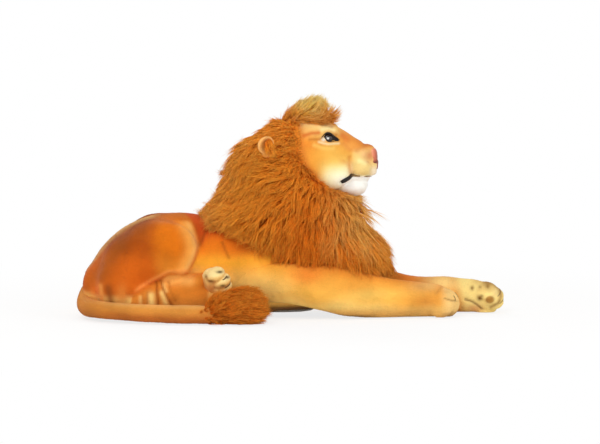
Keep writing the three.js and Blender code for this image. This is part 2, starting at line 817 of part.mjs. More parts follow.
function headPieces() {
  const pieces = {};
  const below = layer(-overrun, turnLevel + seam);
  const shank = cylinder(eye.shank / 2 + seam, -overrun / 2, overrun / 2);
  const { dome, ring, low } = eyeParts();
  const pocket = cylinder(washer.diameter / 2 + seam, low - seam, 0).add(
    cylinder(eye.shank / 2 + seam, -eye.shankLength - seam, 0),
  );
  const places = Object.entries(sideOf).map(([name, sign]) => {
    const { point, out } = surfaceOf(headRings, eyeAlongShare, eyeTurnShare, sign);
    return { name, matrix: facing(point, out) };
  });
  const holes = places.map(({ matrix }) => placed(shank, matrix));
  const pockets = places.map(({ matrix }) => placed(pocket, matrix));
  const shell = headForm(0).subtract(headForm(-skin, around.inside));
  pieces.head_skin = largestBody(cutBy(shell, [below, ...holes]));
  pieces.head_fill = largestBody(cutBy(headForm(-skin - seam, around.inside), [below, ...pockets]));
  for (const { name, matrix } of places) {
    const prism = placed(almond(liner.length, liner.width), matrix);
    pieces[`eye_${name}`] = placed(dome, matrix);
    pieces[`eye_washer_${name}`] = placed(ring, matrix);
    pieces[`eye_liner_${name}`] = patchOn(headForm, prism, felt).subtract(placed(shank, matrix));
  }
  pieces.muzzle = largestBody(cutBy(muzzleForm(0), [headForm(seam)]));
  pieces.chin = largestBody(cutBy(chinForm(0), [headForm(seam), muzzleForm(seam), below]));
  pieces.nose = largestBody(cutBy(noseForm(0), [headForm(seam), muzzleForm(seam)]));
  const path = new THREE.CatmullRomCurve3(
    mouthShares.map(
      ([behind, aside, over]) =>
        new THREE.Vector3(
          muzzleTip - behind * muzzle.length,
          (aside * muzzle.width) / 2,
          muzzleStart.z + over * muzzle.height,
        ),
    ),
  );
  const round = new THREE.Shape().absarc(0, 0, mouthThread, 0, fullTurn);
  const cord = new THREE.ExtrudeGeometry(round, {
    steps: 20,
    extrudePath: path,
    curveSegments: 3,
  });
  pieces.mouth_cord = largestBody(
    cutBy(solidOf(cord), [headForm(seam), muzzleForm(seam), chinForm(seam)]),
  );
  return pieces;
}

// Ears: a cupped flap on a round gathered base, with a pale lining in the cup
function earPlace(name) {
  const sign = sideOf[name];
  const next = maneShares.findIndex(([rise]) => rise > earLevelShare);
  const [a, b] = [maneShares[next - 1], maneShares[next]];
  const t = (earLevelShare - a[0]) / (b[0] - a[0]);
  const [, ahead, long, wide] = a.map((value, i) => value + (b[i] - value) * t);
  const root = new THREE.Vector3(
    axisX + (ahead + earPlaceShare * long) * mane.length,
    sign * wide * mane.width * Math.sqrt(1 - earPlaceShare ** 2),
    mane.bottom + earLevelShare * mane.height,
  );
  const tilt = (degrees) => THREE.MathUtils.degToRad(degrees);
  const turn = new THREE.Quaternion()
    .setFromAxisAngle(Z, sign * tilt(earLeanDegrees.open))
    .premultiply(new THREE.Quaternion().setFromAxisAngle(X, -sign * tilt(earLeanDegrees.out)))
    .premultiply(new THREE.Quaternion().setFromAxisAngle(Y, -tilt(earLeanDegrees.back)));
  const matrix = new THREE.Matrix4().compose(root, turn, new THREE.Vector3(1, 1, 1));
  return { root, matrix };
}

function earPieces(name) {
  const { matrix } = earPlace(name);
  const centre = new THREE.Vector3(0, 0, ear.length * earStandShare + earRoot / 2);
  const half = new THREE.Vector3(ear.depth / 2, ear.width / 2, ear.length / 2);
  const dish = half.clone().multiplyScalar(earDishShare);
  dish.x = half.x;
  const shifted = centre.clone().add(new THREE.Vector3(ear.depth * earDishShiftShare, 0, 0));
  const shrunk = (by) => dish.clone().subScalar(by);
  const cup = ball(half, centre, around.limb).subtract(ball(dish, shifted, around.limb));
  const lining = ball(shrunk(seam), shifted, around.limb)
    .subtract(ball(shrunk(seam + earLining), shifted, around.limb))
    .intersect(ball(half, centre, around.limb));
  const root = ball(new THREE.Vector3(earRoot, earRoot, earRoot), new THREE.Vector3());
  const flap = largestBody(cup.add(root).subtract(ball(shrunk(0), shifted, around.limb)));
  return {
    [`ear_${name}`]: placed(flap, matrix),
    [`ear_lining_${name}`]: placed(largestBody(lining), matrix),
  };
}

// The room that an ear needs in the mane while it folds back on its base
function earRoom(name) {
  const { root, matrix } = earPlace(name);
  const socket = earRoot + swing;
  const half = new THREE.Vector3(ear.depth, ear.width, ear.length).multiplyScalar(0.5);
  half.addScalar(swing);
  const centre = new THREE.Vector3(0, 0, ear.length * earStandShare + earRoot / 2);
  const flap = ball(half, centre);
  const { back, front } = earFoldDegrees;
  const folds = [-back, 0, front / 2, front].map((degrees) => {
    const fold = new THREE.Matrix4().makeRotationY(THREE.MathUtils.degToRad(degrees));
    return placed(flap, matrix.clone().multiply(fold));
  });
  return union([ball(new THREE.Vector3(socket, socket, socket), root), ...folds]);
}

function manePieces() {
  const hem = sideCutter([
    ...hemShares.map(([ahead, up]) => [
      axisX + ahead * mane.length,
      mane.bottom + up * mane.height,
    ]),
    ...forelegShares.map(([along, , , middle, high]) => [
      shoulderX + along * forelegReach.left,
      (middle + high) * foreleg.height + hemGap,
    ]),
    [axisX + mane.length * 2, -overrun],
    [axisX - mane.length, -overrun],
  ]);
  const face = sideCutter([
    ...hairlineShares.map(([ahead, up]) => [
      axisX + ahead * mane.length,
      mane.bottom + up * mane.height,
    ]),
    [axisX + mane.length, mane.bottom + 2 * mane.height],
    [axisX, mane.bottom + 2 * mane.height],
  ]);
  const above = layer(turnLevel, turnLevel + mane.height);
  const below = layer(-overrun, turnLevel + seam);
  const rooms = [earRoom("left"), earRoom("right")];
  const features = [headForm(seam), muzzleForm(seam), chinForm(seam)];
  const crown = largestBody(cutBy(maneForm(0), [below, face, ...features, ...rooms]));
  const collar = largestBody(
    cutBy(maneForm(0), [above, hem, torsoForm(seam)]),
  );
  const lock = largestBody(cutBy(forelockForm(0), [headForm(seam), maneForm(seam)]));
  return { mane_crown: crown, mane_collar: collar, forelock: lock };
}

function foreLimb(name) {
  const matrix = forePawMatrix(name);
  const paw = (grow) => placed(pawForm(forePaw, grow), matrix);
  const leg = aboveFloor(forelegForm(name, 0));
  const other = name === "left" ? "right" : "left";
  const bare = aboveFloor(paw(0)).subtract(aboveFloor(forelegForm(name, seam)));
  const pieces = {
    [`foreleg_${name}`]: largestBody(leg),
    [`forepaw_${name}`]: largestBody(bare.subtract(forelegForm(other, swing))),
  };
  toeStitches(forePaw).forEach((stitch, i) => {
    const free = placed(stitch, matrix).subtract(forelegForm(name, seam));
    pieces[`toe_stitch_fore_${name}_${i + 1}`] = largestBody(aboveFloor(free));
  });
  return pieces;
}

function hindLimb(name) {
  const matrix = hindPawMatrix(name);
  const body = [torsoForm(seam)];
  const thigh = largestBody(cutBy(haunchForm(name, 0), body));
  const foot = aboveFloor(hindFootForm(name, 0));
  const clear = [...body, haunchForm(name, seam), tailForm(swing)];
  const pieces = {
    [`haunch_${name}`]: thigh,
    [`hind_foot_${name}`]: largestBody(cutBy(foot, clear)),
  };
  const paw = placed(pawForm(hindPaw, 0), matrix);
  pieces[`hind_paw_${name}`] = largestBody(
    cutBy(paw, [...clear, hindFootForm(name, seam)]),
  );
  toeStitches(hindPaw).forEach((stitch, i) => {
    const free = cutBy(placed(stitch, matrix), [...clear, hindFootForm(name, seam)]);
    pieces[`toe_stitch_hind_${name}_${i + 1}`] = largestBody(free);
  });
  return pieces;
}

function tailPieces() {
  const paw = placed(pawForm(hindPaw, swing), hindPawMatrix("right"));
  const fur = cutBy(aboveFloor(tuftForm(0)), [
    tailForm(seam),
    torsoForm(swing),
    hindFootForm("right", swing),
    paw,
  ]);
  return { tail: largestBody(aboveFloor(tailForm(0))), tail_tuft: largestBody(fur) };
}

const colours = {
  back: 0xb8621f,
  leg: 0xe9a04a,
  fill: 0xf2f0ea,
  pale: 0xf6e3b4,
  white: 0xfaf3df,
  fur: 0xb4691f,
  nose: 0xb4563c,
  dark: 0x15110c,
  plastic: 0xd9d6cc,
  ear: 0xdda555,
};

// Colour and finish of each kind of piece, by the start of its name
const finishes = [
  ["torso_skin", colours.back, 0.9],
  ["torso_fill", colours.fill, 1],
  ["head_fill", colours.fill, 1],
  ["head_skin", colours.leg, 0.9],
  ["muzzle", colours.pale, 0.9],
  ["chin", colours.white, 0.9],
  ["nose", colours.nose, 0.6],
  ["mouth_cord", colours.dark, 0.7],
  ["eye_liner", colours.dark, 0.8],
  ["eye_washer", colours.plastic, 0.5],
  ["eye_", colours.dark, 0.15],
  ["ear_lining", colours.pale, 0.9],
  ["ear_", colours.ear, 0.9],
  ["mane", colours.fur, 1],
  ["forelock", colours.fur, 1],
  ["tail_tuft", colours.fur, 1],
  ["toe_stitch", colours.dark, 0.8],
  ["forepaw", colours.pale, 0.9],
  ["hind_paw", colours.pale, 0.9],
  ["", colours.leg, 0.9],
];

function meshOf(name, solid) {
  const [, color, roughness] = finishes.find(([start]) => name.startsWith(start));
  const material = new THREE.MeshStandardMaterial({ color, roughness, metalness: 0 });
  const mesh = new THREE.Mesh(geometryOf(solid), material);
  mesh.name = name;
  return mesh;
}

const lion = new THREE.Group();
const pieces = {
  ...torsoPieces(),
  ...headPieces(),
  ...manePieces(),
  ...earPieces("left"),
  ...earPieces("right"),
  ...foreLimb("left"),
  ...foreLimb("right"),
  ...hindLimb("left"),
  ...hindLimb("right"),
  ...tailPieces(),
};
for (const [name, solid] of Object.entries(pieces)) lion.add(meshOf(name, solid));

export default lion;
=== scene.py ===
import math

import bpy
import numpy as np
from mathutils import Matrix, Vector, noise
from mathutils.bvhtree import BVHTree
from mathutils.kdtree import KDTree


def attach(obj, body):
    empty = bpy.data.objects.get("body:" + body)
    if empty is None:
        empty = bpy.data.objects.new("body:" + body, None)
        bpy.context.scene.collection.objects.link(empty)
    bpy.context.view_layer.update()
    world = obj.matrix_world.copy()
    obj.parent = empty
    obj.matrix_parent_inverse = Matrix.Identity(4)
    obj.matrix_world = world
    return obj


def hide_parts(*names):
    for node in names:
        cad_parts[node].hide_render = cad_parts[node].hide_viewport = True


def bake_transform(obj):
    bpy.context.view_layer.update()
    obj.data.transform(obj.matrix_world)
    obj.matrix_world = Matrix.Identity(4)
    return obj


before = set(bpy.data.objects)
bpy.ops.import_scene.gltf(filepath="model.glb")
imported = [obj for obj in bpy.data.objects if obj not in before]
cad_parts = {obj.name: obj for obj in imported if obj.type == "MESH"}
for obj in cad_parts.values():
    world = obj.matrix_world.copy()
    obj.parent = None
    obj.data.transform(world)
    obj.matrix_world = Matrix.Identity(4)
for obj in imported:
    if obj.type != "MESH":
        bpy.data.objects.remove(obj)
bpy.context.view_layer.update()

MM = 0.001
TURN = 2 * math.pi
SEED = 20
DOWN = np.array([0, 0, -1.0])
rng = np.random.default_rng(SEED)
noise.seed_set(SEED)

# The photograph's frame: its width in pixels, the millimetres for each pixel, the pixel of the
# belly's middle on the floor, the pixel that the camera is aimed at, and the camera's tilt
PHOTO_WIDTH = 600
PIXEL = 1.408
BELLY_PX = 215
FLOOR_PY = 313.8
AIM_PX = 300
AIM_PY = 222
TILT = math.radians(6)
CAMERA_DISTANCE = 9.0
SENSOR = 36

# Each lamp's name, place, aim, size in metres and power in watts
LAMPS = [
    ("key", (-0.5, -1.6, 1.7), (0.1, 0, 0.1), 1.4, 18),
    ("front", (1.7, -1.1, 1.0), (0.15, 0, 0.15), 1.2, 8),
    ("back", (-0.6, 1.6, 1.4), (0.1, 0, 0.1), 1.4, 8),
]
WHITE_LIGHT = (1, 1, 1, 1)
FLOOR_REACH = 14
FLOOR_DROP = 0.0012


def at_px(px):
    """The X, in mm, that shows at a pixel column."""
    return (px - BELLY_PX) * PIXEL


def at_py(py):
    """The height, in mm, that shows at a pixel row."""
    return (FLOOR_PY - py) * PIXEL / math.cos(TILT)


def add_object(name, data):
    made = bpy.data.objects.new(name, data)
    bpy.context.scene.collection.objects.link(made)
    return made


# Node trees

def set_inputs(made, **inputs):
    """Sets inputs by name, with _ for a space."""
    for name, value in inputs.items():
        made.inputs[name.replace("_", " ")].default_value = value


def node(tree, kind, **inputs):
    made = tree.nodes.new(kind)
    set_inputs(made, **inputs)
    return made


def wire(tree, *pairs):
    """Links pairs of an output and the input that it feeds."""
    for start, end in pairs:
        tree.links.new(start, end)


def calc(tree, operation, first, second):
    made = tree.nodes.new("ShaderNodeMath")
    made.operation = operation
    wire(tree, (first, made.inputs[0]), (second, made.inputs[1]))
    return made.outputs[0]


def in_view(tree):
    """1 for rays of the camera and of mirror reflections, 0 for all others."""
    path = tree.nodes.new("ShaderNodeLightPath")
    return calc(tree, "MAXIMUM", path.outputs["Is Camera Ray"], path.outputs["Is Glossy Ray"])


def either(tree, share, first, second, end):
    """Feeds end with the first shader, or by its share with the second."""
    made = tree.nodes.new("ShaderNodeMixShader")
    wire(tree, (share, made.inputs[0]), (first, made.inputs[1]), (second, made.inputs[2]))
    wire(tree, (made.outputs[0], end))


# Camera, light and floor

def make_camera():
    data = bpy.data.cameras.new("camera")
    camera = add_object("camera", data)
    away = Vector((0, -math.cos(TILT), math.sin(TILT)))
    camera.location = Vector((at_px(AIM_PX) * MM, 0, at_py(AIM_PY) * MM)) + CAMERA_DISTANCE * away
    camera.rotation_euler = (-away).to_track_quat("-Z", "Y").to_euler()
    data.sensor_width = SENSOR
    data.lens = SENSOR * CAMERA_DISTANCE / (PHOTO_WIDTH * PIXEL * MM)
    data.clip_end = 50
    bpy.context.scene.camera = camera


def make_studio():
    scene = bpy.context.scene
    scene.view_settings.view_transform = "Standard"
    scene.world = bpy.data.worlds.new("studio")
    scene.world.use_nodes = True
    tree = scene.world.node_tree
    tree.nodes.clear()
    light = node(tree, "ShaderNodeBackground", Color=(1, 0.985, 0.96, 1), Strength=0.66)
    seen = node(tree, "ShaderNodeBackground", Color=WHITE_LIGHT, Strength=1)
    out = tree.nodes.new("ShaderNodeOutputWorld")
    either(tree, in_view(tree), light.outputs[0], seen.outputs[0], out.inputs[0])
    for name, place, aim, size, power in LAMPS:
        data = bpy.data.lights.new(name, "AREA")
        data.shape = "DISK"
        data.size = size
        data.energy = power
        lamp = add_object(name, data)
        lamp.location = place
        lamp.rotation_euler = (Vector(aim) - Vector(place)).to_track_quat("-Z", "Y").to_euler()


def make_floor():
    """A white floor that fades into the white round it."""
    mesh = bpy.data.meshes.new("floor")
    corners = [(-1, -1), (1, -1), (1, 1), (-1, 1)]
    mesh.from_pydata([(x * FLOOR_REACH, y * FLOOR_REACH, 0) for x, y in corners], [], [(0, 1, 2, 3)])
    floor = add_object("floor", mesh)
    floor.location = (0, 0, -FLOOR_DROP)
    material = bpy.data.materials.new("floor_white")
    material.use_nodes = True
    tree = material.node_tree
    shader = tree.nodes["Principled BSDF"]
    set_inputs(shader, Base_Color=(0.96, 0.955, 0.95, 1), Roughness=0.9, Specular_IOR_Level=0.0)
    glow = node(tree, "ShaderNodeEmission", Color=WHITE_LIGHT, Strength=1)
    place = tree.nodes.new("ShaderNodeTexCoord")
    away = tree.nodes.new("ShaderNodeVectorMath")
    away.operation = "DISTANCE"
    away.inputs[1].default_value = (at_px(AIM_PX) * MM, 0, 0)
    fade = node(tree, "ShaderNodeMapRange", From_Min=0.3, From_Max=0.75, To_Min=0.78, To_Max=1)
    fade.interpolation_type = "SMOOTHSTEP"
    wire(
        tree, (place.outputs["Object"], away.inputs[0]),
        (away.outputs["Value"], fade.inputs["Value"]),
    )
    share = calc(tree, "MULTIPLY", in_view(tree), fade.outputs[0])
    surface = tree.nodes["Material Output"].inputs["Surface"]
    either(tree, share, shader.outputs[0], glow.outputs[0], surface)
    mesh.materials.append(material)


# Meshes from numbers

def new_object(name, points, faces):
    """A mesh object from points in mm."""
    mesh = bpy.data.meshes.new(name)
    mesh.from_pydata((np.asarray(points) * MM).tolist(), [], faces)
    mesh.update()
    return add_object(name, mesh)


def read(items, field, width, kind=np.float32):
    """One field of every item, as rows."""
    flat = np.empty(len(items) * width, kind)
    items.foreach_get(field, flat)
    return flat.reshape(-1, width)


def points_of(piece):
    return read(piece.data.vertices, "co", 3).astype(float) / MM


def normals_of(piece):
    return read(piece.data.vertices, "normal", 3).astype(float)


def set_points(piece, co):
    piece.data.vertices.foreach_set("co", (co * MM).astype(np.float32).ravel())
    piece.data.update()


def step(low, high, value):
    """0 below low, 1 above high, and a smooth rise between."""
    t = np.clip((value - low) / (high - low), 0, 1)
    return t * t * (3 - 2 * t)


def through(rows, count):
    """Rows of numbers, run through by a smooth curve and read at count even places."""
    rows = np.asarray(rows, float)
    last = len(rows) - 1
    t = np.linspace(0, last, count)
    i = np.clip(np.floor(t).astype(int), 0, last - 1)
    f = (t - i)[:, None]
    p0 = rows[np.clip(i - 1, 0, last)]
    p1 = rows[i]
    p2 = rows[i + 1]
    p3 = rows[np.clip(i + 2, 0, last)]
    return 0.5 * (
        2 * p1 + (p2 - p0) * f + (2 * p0 - 5 * p1 + 4 * p2 - p3) * f**2
        + (3 * p1 - p0 - 3 * p2 + p3) * f**3
    )


def rings_mesh(rings):
    """Points and faces over rings of equal length, closed by a point at each end."""
    rings = np.asarray(rings)
    m, n, _ = rings.shape
    points = np.concatenate([rings.reshape(-1, 3), [rings[0].mean(0), rings[-1].mean(0)]])
    faces = []
    for r in range(m - 1):
        for i in range(n):
            j = (i + 1) % n
            faces.append([r * n + i, r * n + j, (r + 1) * n + j, (r + 1) * n + i])
    for i in range(n):
        j = (i + 1) % n
        faces.append([m * n, j, i])
        faces.append([m * n + 1, (m - 1) * n + i, (m - 1) * n + j])
    return points, faces


def rings_round(centre, side, up, wide, high, around):
    """Rings about points: half size wide along side, and half size high along up."""
    angle = np.linspace(0, TURN, around, endpoint=False)
    return (
        centre[:, None]
        + np.asarray(side)[..., None, :] * (wide[:, None] * np.cos(angle))[..., None]
        + np.asarray(up)[..., None, :] * (high[:, None] * np.sin(angle))[..., None]
    )


def rounded(rows, along, sizes=None):
    """Columns of the rows, read at places that crowd towards the ends to round them.
    From the column called sizes on, nothing is below 0."""
    columns = through(rows, 12 * (len(rows) - 1) + 1)
    if sizes is not None:
        columns[:, sizes:] = np.maximum(columns[:, sizes:], 0.0)
    t = (1 - np.cos(np.linspace(0.02, 0.98, along) * math.pi)) / 2
    place = np.linspace(0, 1, len(columns))
    return np.array([np.interp(t, place, column) for column in columns.T])


def swell(rows, around=40, along=60):
    """A form from rows of centre x, y, z, half width and half height, square to X."""
    *centre, wide, high = rounded(rows, along, 3)
    return rings_mesh(rings_round(np.stack(centre, 1), (0, 1, 0), (0, 0, 1), wide, high, around))


def upright(rows, around=40, along=40):
    """A form from rows of height, middle ahead, half length and half width."""
    z, x, long, wide = rounded(rows, along)
    long, wide = np.maximum(long, 0), np.maximum(wide, 0)
    centre = np.stack([x, np.zeros(along), z], 1)
    return rings_mesh(rings_round(centre, (1, 0, 0), (0, 1, 0), long, wide, around))


def egg(centre, radii, turn=None, around=28):
    """An ellipsoid of given radii, turned by a matrix about its centre."""
    t = np.linspace(0.03, 0.97, around // 2) * math.pi
    middle = -np.cos(t)[:, None] * (1, 0, 0)
    rings = rings_round(middle, (0, 1, 0), (0, 0, 1), np.sin(t), np.sin(t), around)
    rings = rings * np.asarray(radii, float)
    if turn is not None:
        rings = rings @ np.array(turn.to_3x3()).T
    return rings_mesh(rings + np.asarray(centre, float))


def tube(line, radius, around=8, ends=0.35):
    """A round cord along points in mm, thinner at its ends. radius may change along it."""
    line = through(line, len(line) * 3)
    along = unit(np.gradient(line, axis=0))
    side = unit(np.cross(along, [0.13, 0.2, 1.0]))
    t = np.linspace(0, 1, len(line))
    radius = np.atleast_1d(radius)
    size = np.interp(t, np.linspace(0, 1, len(radius)), radius)
    size = size * (ends + (1 - ends) * np.minimum(1, np.minimum(t, 1 - t) * 8))
    return rings_mesh(rings_round(line, side, np.cross(side, along), size, size, around))


def join_shapes(shapes):
    faces = []
    base = 0
    for points, part in shapes:
        faces += [[i + base for i in face] for face in part]
        base += len(points)
    return np.concatenate([points for points, _ in shapes]), faces


def moved(shape, matrix):
    points, faces = shape
    return points @ np.array(matrix.to_3x3()).T + np.array(matrix.translation), faces


def grid_melt(name, shapes, voxel):
    """One closed skin round several forms, from Blender's voxel remesh."""
    piece = new_object(name, *join_shapes(shapes))
    fresh_skin(piece, voxel)
    return piece


def fresh_skin(piece, voxel):
    remesh = piece.modifiers.new("voxels", "REMESH")
    remesh.mode = "VOXEL"
    remesh.voxel_size = voxel * MM
    apply_modifiers(piece)


def split_finer(piece, levels):
    finer = piece.modifiers.new("finer", "SUBSURF")
    finer.levels = finer.render_levels = levels
    apply_modifiers(piece)


def apply_modifiers(piece):
    graph = bpy.context.evaluated_depsgraph_get()
    made = bpy.data.meshes.new_from_object(piece.evaluated_get(graph))
    piece.modifiers.clear()
    piece.data = made


# How far each point goes to the middle of its neighbours, and back again
RELAX_SHARES = (0.55, -0.57)


def relax(piece, times, keep=0.0):
    """Smooths without shrinking. keep is 0 to 1, for all or for each point, 1 where it stays."""
    co = points_of(piece)
    a, b = read(piece.data.edges, "vertices", 2, np.int32).T
    count = np.bincount(a, minlength=len(co)) + np.bincount(b, minlength=len(co))
    count = np.maximum(count, 1)[:, None]
    free = (1 - np.atleast_1d(keep))[:, None]
    for _ in range(times):
        for share in RELAX_SHARES:
            total = np.zeros_like(co)
            for k in range(3):
                total[:, k] = np.bincount(a, co[b, k], len(co)) + np.bincount(b, co[a, k], len(co))
            co = co + share * free * (total / count - co)
    set_points(piece, co)


def settle(piece):
    """Presses everything below the floor up to it."""
    co = points_of(piece)
    co[:, 2] = np.maximum(co[:, 2], 0.0)
    set_points(piece, co)


def tree_of(piece):
    mesh = piece.data
    mesh.calc_loop_triangles()
    co = [v.co.copy() / MM for v in mesh.vertices]
    return BVHTree.FromPolygons(co, [t.vertices for t in mesh.loop_triangles])


# How far from the middle a ray towards the side of the head starts, in mm
RAY_START = 90


def side_hit(tree, x, z, sign):
    """Where a surface is met from one side, and its way out there."""
    at, out, _, _ = tree.ray_cast(Vector((x, sign * RAY_START, z)), Vector((0, -sign, 0)))
    return at, out


def lump(co, scale, seed, size=1.0):
    """Smooth noise at each point, about -size to size, with bumps scale mm across."""
    made = np.zeros(len(co))
    pick = np.random.default_rng(seed)
    for octave in range(3):
        for _ in range(5):
            way = pick.normal(size=3)
            way /= np.linalg.norm(way)
            phase = pick.uniform(0, TURN)
            made += np.sin(co @ way * TURN / (scale * 2 / 2**octave) + phase) / 2**octave
    return made * size / 5.5


def unit(v):
    return v / np.maximum(np.linalg.norm(v, axis=-1, keepdims=True), 1e-9)


def shade_smooth(piece):
    piece.data.polygons.foreach_set("use_smooth", np.ones(len(piece.data.polygons), bool))
    piece.data.update()


# Colours and marks

def colour(*rgb):
    """Linear light from the usual 0 to 255."""
    c = np.asarray(rgb, float) / 255
    return np.where(c <= 0.04045, c / 12.92, ((c + 0.055) / 1.055) ** 2.4)


def mix(a, b, t):
    t = np.asarray(t)[..., None] if np.ndim(t) else t
    return a + (b - a) * t


def near(co, place, radii):
    """1 at a place and 0 beyond radii from it, in side view or in space."""
    place = np.asarray(place, float)
    d = (co[:, : len(place)] if len(place) == 3 else co[:, [0, 2]]) - place
    return np.exp(-((d / np.asarray(radii, float)) ** 2).sum(1))


def stroke(co, route, width):
    """1 on a line through side-view points and 0 beyond width from it."""
    flat = co[:, [0, 2]]
    best = np.full(len(co), 1e9)
    for p, q in zip(route[:-1], route[1:]):
        p, q = np.asarray(p, float), np.asarray(q, float)
        along = np.clip(((flat - p) @ (q - p)) / ((q - p) @ (q - p)), 0, 1)
        best = np.minimum(best, np.linalg.norm(flat - (p + along[:, None] * (q - p)), axis=1))
    return np.exp(-((best / width) ** 2))


def beside(route, ahead, up=0.0):
    """The route, moved ahead and up by so many mm."""
    return [(x + ahead, z + up) for x, z in route]


def amount(co, mark, masks):
    """How far a mark reaches each point. A mark is its strength, a place with radii or a
    side-view route with a width, and the names of the masks that it keeps to."""
    strength, where, size, *kept = mark
    made = strength * (near if np.ndim(where) == 1 else stroke)(co, where, size)
    for name in kept:
        made = made * masks[name]
    return made


def depth_of(co, marks, **masks):
    """The sum of the marks at each point, as a column."""
    return sum(amount(co, mark, masks) for mark in marks)[:, None]


def lay(rgb, co, marks, **masks):
    """Lays marks over rgb. Each is a colour, and its share at every point or what amount
    reads."""
    for shade, share, *mark in marks:
        if mark:
            share = amount(co, (share, *mark), masks)
        rgb = mix(rgb, colour(*shade), share)
    return rgb


def set_tint(piece, rgb):
    layer = piece.data.color_attributes.new("tint", "FLOAT_COLOR", "POINT")
    data = np.ones((len(piece.data.vertices), 4), np.float32)
    data[:, :3] = np.clip(rgb, 0, 1)
    layer.data.foreach_set("color", data.ravel())


def plain_tint(piece, *rgb):
    set_tint(piece, np.tile(colour(*rgb), (len(piece.data.vertices), 1)))


# Materials

def new_material(name, roughness, sheen, specular):
    material = bpy.data.materials.new(name)
    material.use_nodes = True
    tree = material.node_tree
    shader = tree.nodes["Principled BSDF"]
    set_inputs(shader, Roughness=roughness, Specular_IOR_Level=specular, Sheen_Weight=sheen)
    set_inputs(shader, Sheen_Roughness=0.4, Sheen_Tint=(1, 0.9, 0.75, 1))
    return material, tree, shader, tree.nodes.new("ShaderNodeTexCoord").outputs["Object"]


def grain_of(tree, place, scale, detail, roughness):
    made = node(tree, "ShaderNodeTexNoise", Scale=scale, Detail=detail, Roughness=roughness)
    wire(tree, (place, made.inputs["Vector"]))
    return made.outputs["Fac"]


def stretch(tree, grain, low, high):
    """The middle of a noise's range, spread from low to high."""
    made = node(tree, "ShaderNodeMapRange", From_Min=0.3, From_Max=0.7, To_Min=low, To_Max=high)
    wire(tree, (grain, made.inputs["Value"]))
    return made.outputs[0]


def show_tint(tree, shader, share):
    """The painted tint, times share, as the colour."""
    tint = tree.nodes.new("ShaderNodeAttribute")
    tint.attribute_name = "tint"
    scaled = tree.nodes.new("ShaderNodeVectorMath")
    scaled.operation = "SCALE"
    wire(
        tree, (tint.outputs["Color"], scaled.inputs[0]), (share, scaled.inputs["Scale"]),
        (scaled.outputs[0], shader.inputs["Base Color"]),
    )


def show_bumps(tree, shader, grain, strength, depth):
    bump = node(tree, "ShaderNodeBump", Strength=strength, Distance=depth)
    wire(tree, (grain, bump.inputs["Height"]), (bump.outputs[0], shader.inputs["Normal"]))


def pile_material(name, grain=700, depth=0.0006, mottle=0.12):
    """Short brushed pile over the piece's painted tint: a fine nap that catches the light,
    and broad patches where the nap leans another way."""
    material, tree, shader, place = new_material(name, 0.95, 0.12, 0.12)
    fine = grain_of(tree, place, grain, 3.0, 0.65)
    broad = grain_of(tree, place, grain / 26, 2.0, 0.5)
    fine_value = stretch(tree, fine, 0.9, 1.1)
    broad_value = stretch(tree, broad, 1 - mottle, 1 + mottle)
    show_tint(tree, shader, calc(tree, "MULTIPLY", fine_value, broad_value))
    show_bumps(tree, shader, fine, 0.6, depth)
    return material


def hair_material(name):
    """Long pile: the strands carry their own tint from root to tip, broken up by streaks."""
    material, tree, shader, place = new_material(name, 0.7, 0.0, 0.12)
    show_tint(tree, shader, stretch(tree, grain_of(tree, place, 260.0, 2.0, 0.6), 0.86, 1.12))
    return material


def plain_material(name, base, roughness, grain, sheen=0.0, specular=0.4, bump_depth=0.0003):
    """One colour broken up by fine noise, for felt, thread, fill and moulded plastic. With
    no colour given, it is the piece's painted tint that the noise breaks up."""
    material, tree, shader, place = new_material(name, roughness, sheen, specular)
    texture = grain_of(tree, place, grain, 3.0, 0.6)
    if base is None:
        show_tint(tree, shader, stretch(tree, texture, 0.85, 1.12))
    else:
        ramp = tree.nodes.new("ShaderNodeValToRGB")
        dark, light = ramp.color_ramp.elements
        dark.position, light.position = 0.3, 0.7
        dark.color = (*(base * 0.8), 1)
        light.color = (*np.minimum(base * 1.15, 1), 1)
        wire(
            tree, (texture, ramp.inputs["Fac"]),
            (ramp.outputs["Color"], shader.inputs["Base Color"]),
        )
    show_bumps(tree, shader, texture, 0.4, bump_depth)
    return material


PILE = pile_material("short_pile")
FACE_PILE = pile_material("face_pile", grain=1000, depth=0.0004, mottle=0.06)
HAIR = hair_material("long_pile")
THREAD = plain_material("black_thread", None, 0.75, 1500.0, sheen=0.1)
TOE_THREAD = plain_material("brown_thread", colour(92, 62, 28), 0.8, 1500.0, sheen=0.2)
FELT = plain_material("dark_felt", colour(34, 24, 18), 0.95, 1200.0, sheen=0.3)
FILL = plain_material("fibre_fill", colour(238, 236, 230), 0.95, 180.0, bump_depth=0.002)
WASHER = plain_material("washer_plastic", colour(222, 220, 210), 0.5, 90.0)
NOSE = plain_material("nose_cloth", None, 0.55, 420.0, sheen=0.4)
EYE = plain_material("eye_plastic", None, 0.06, 60.0, specular=0.6, bump_depth=0.0)


def finish_piece(piece, body, material, slot, *nodes):
    piece.data.materials.clear()
    piece.data.materials.append(material)
    shade_smooth(piece)
    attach(piece, body)
    if nodes:
        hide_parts(*nodes)


# Hair

STRANDS_PER_PIECE = 7000
# Where along a strand its middle colour lies, how far in mm the tips stray from their lock, how
# big in mm the swirls are that turn the locks, and how far hair stays off the floor
MIDDLE_AT = 0.45
STRAY = 2.2
SWIRL = 26
OFF_FLOOR = 0.4
SPIKES_PER_PIECE = 40000
# The way the nap leans, and how light each of a spike's four points is
NAP_WAY = np.array([-1.0, 0, -0.45])
NAP_SHADES = np.array([1.0, 1.0, 1.0, 1.15])[None, :, None]


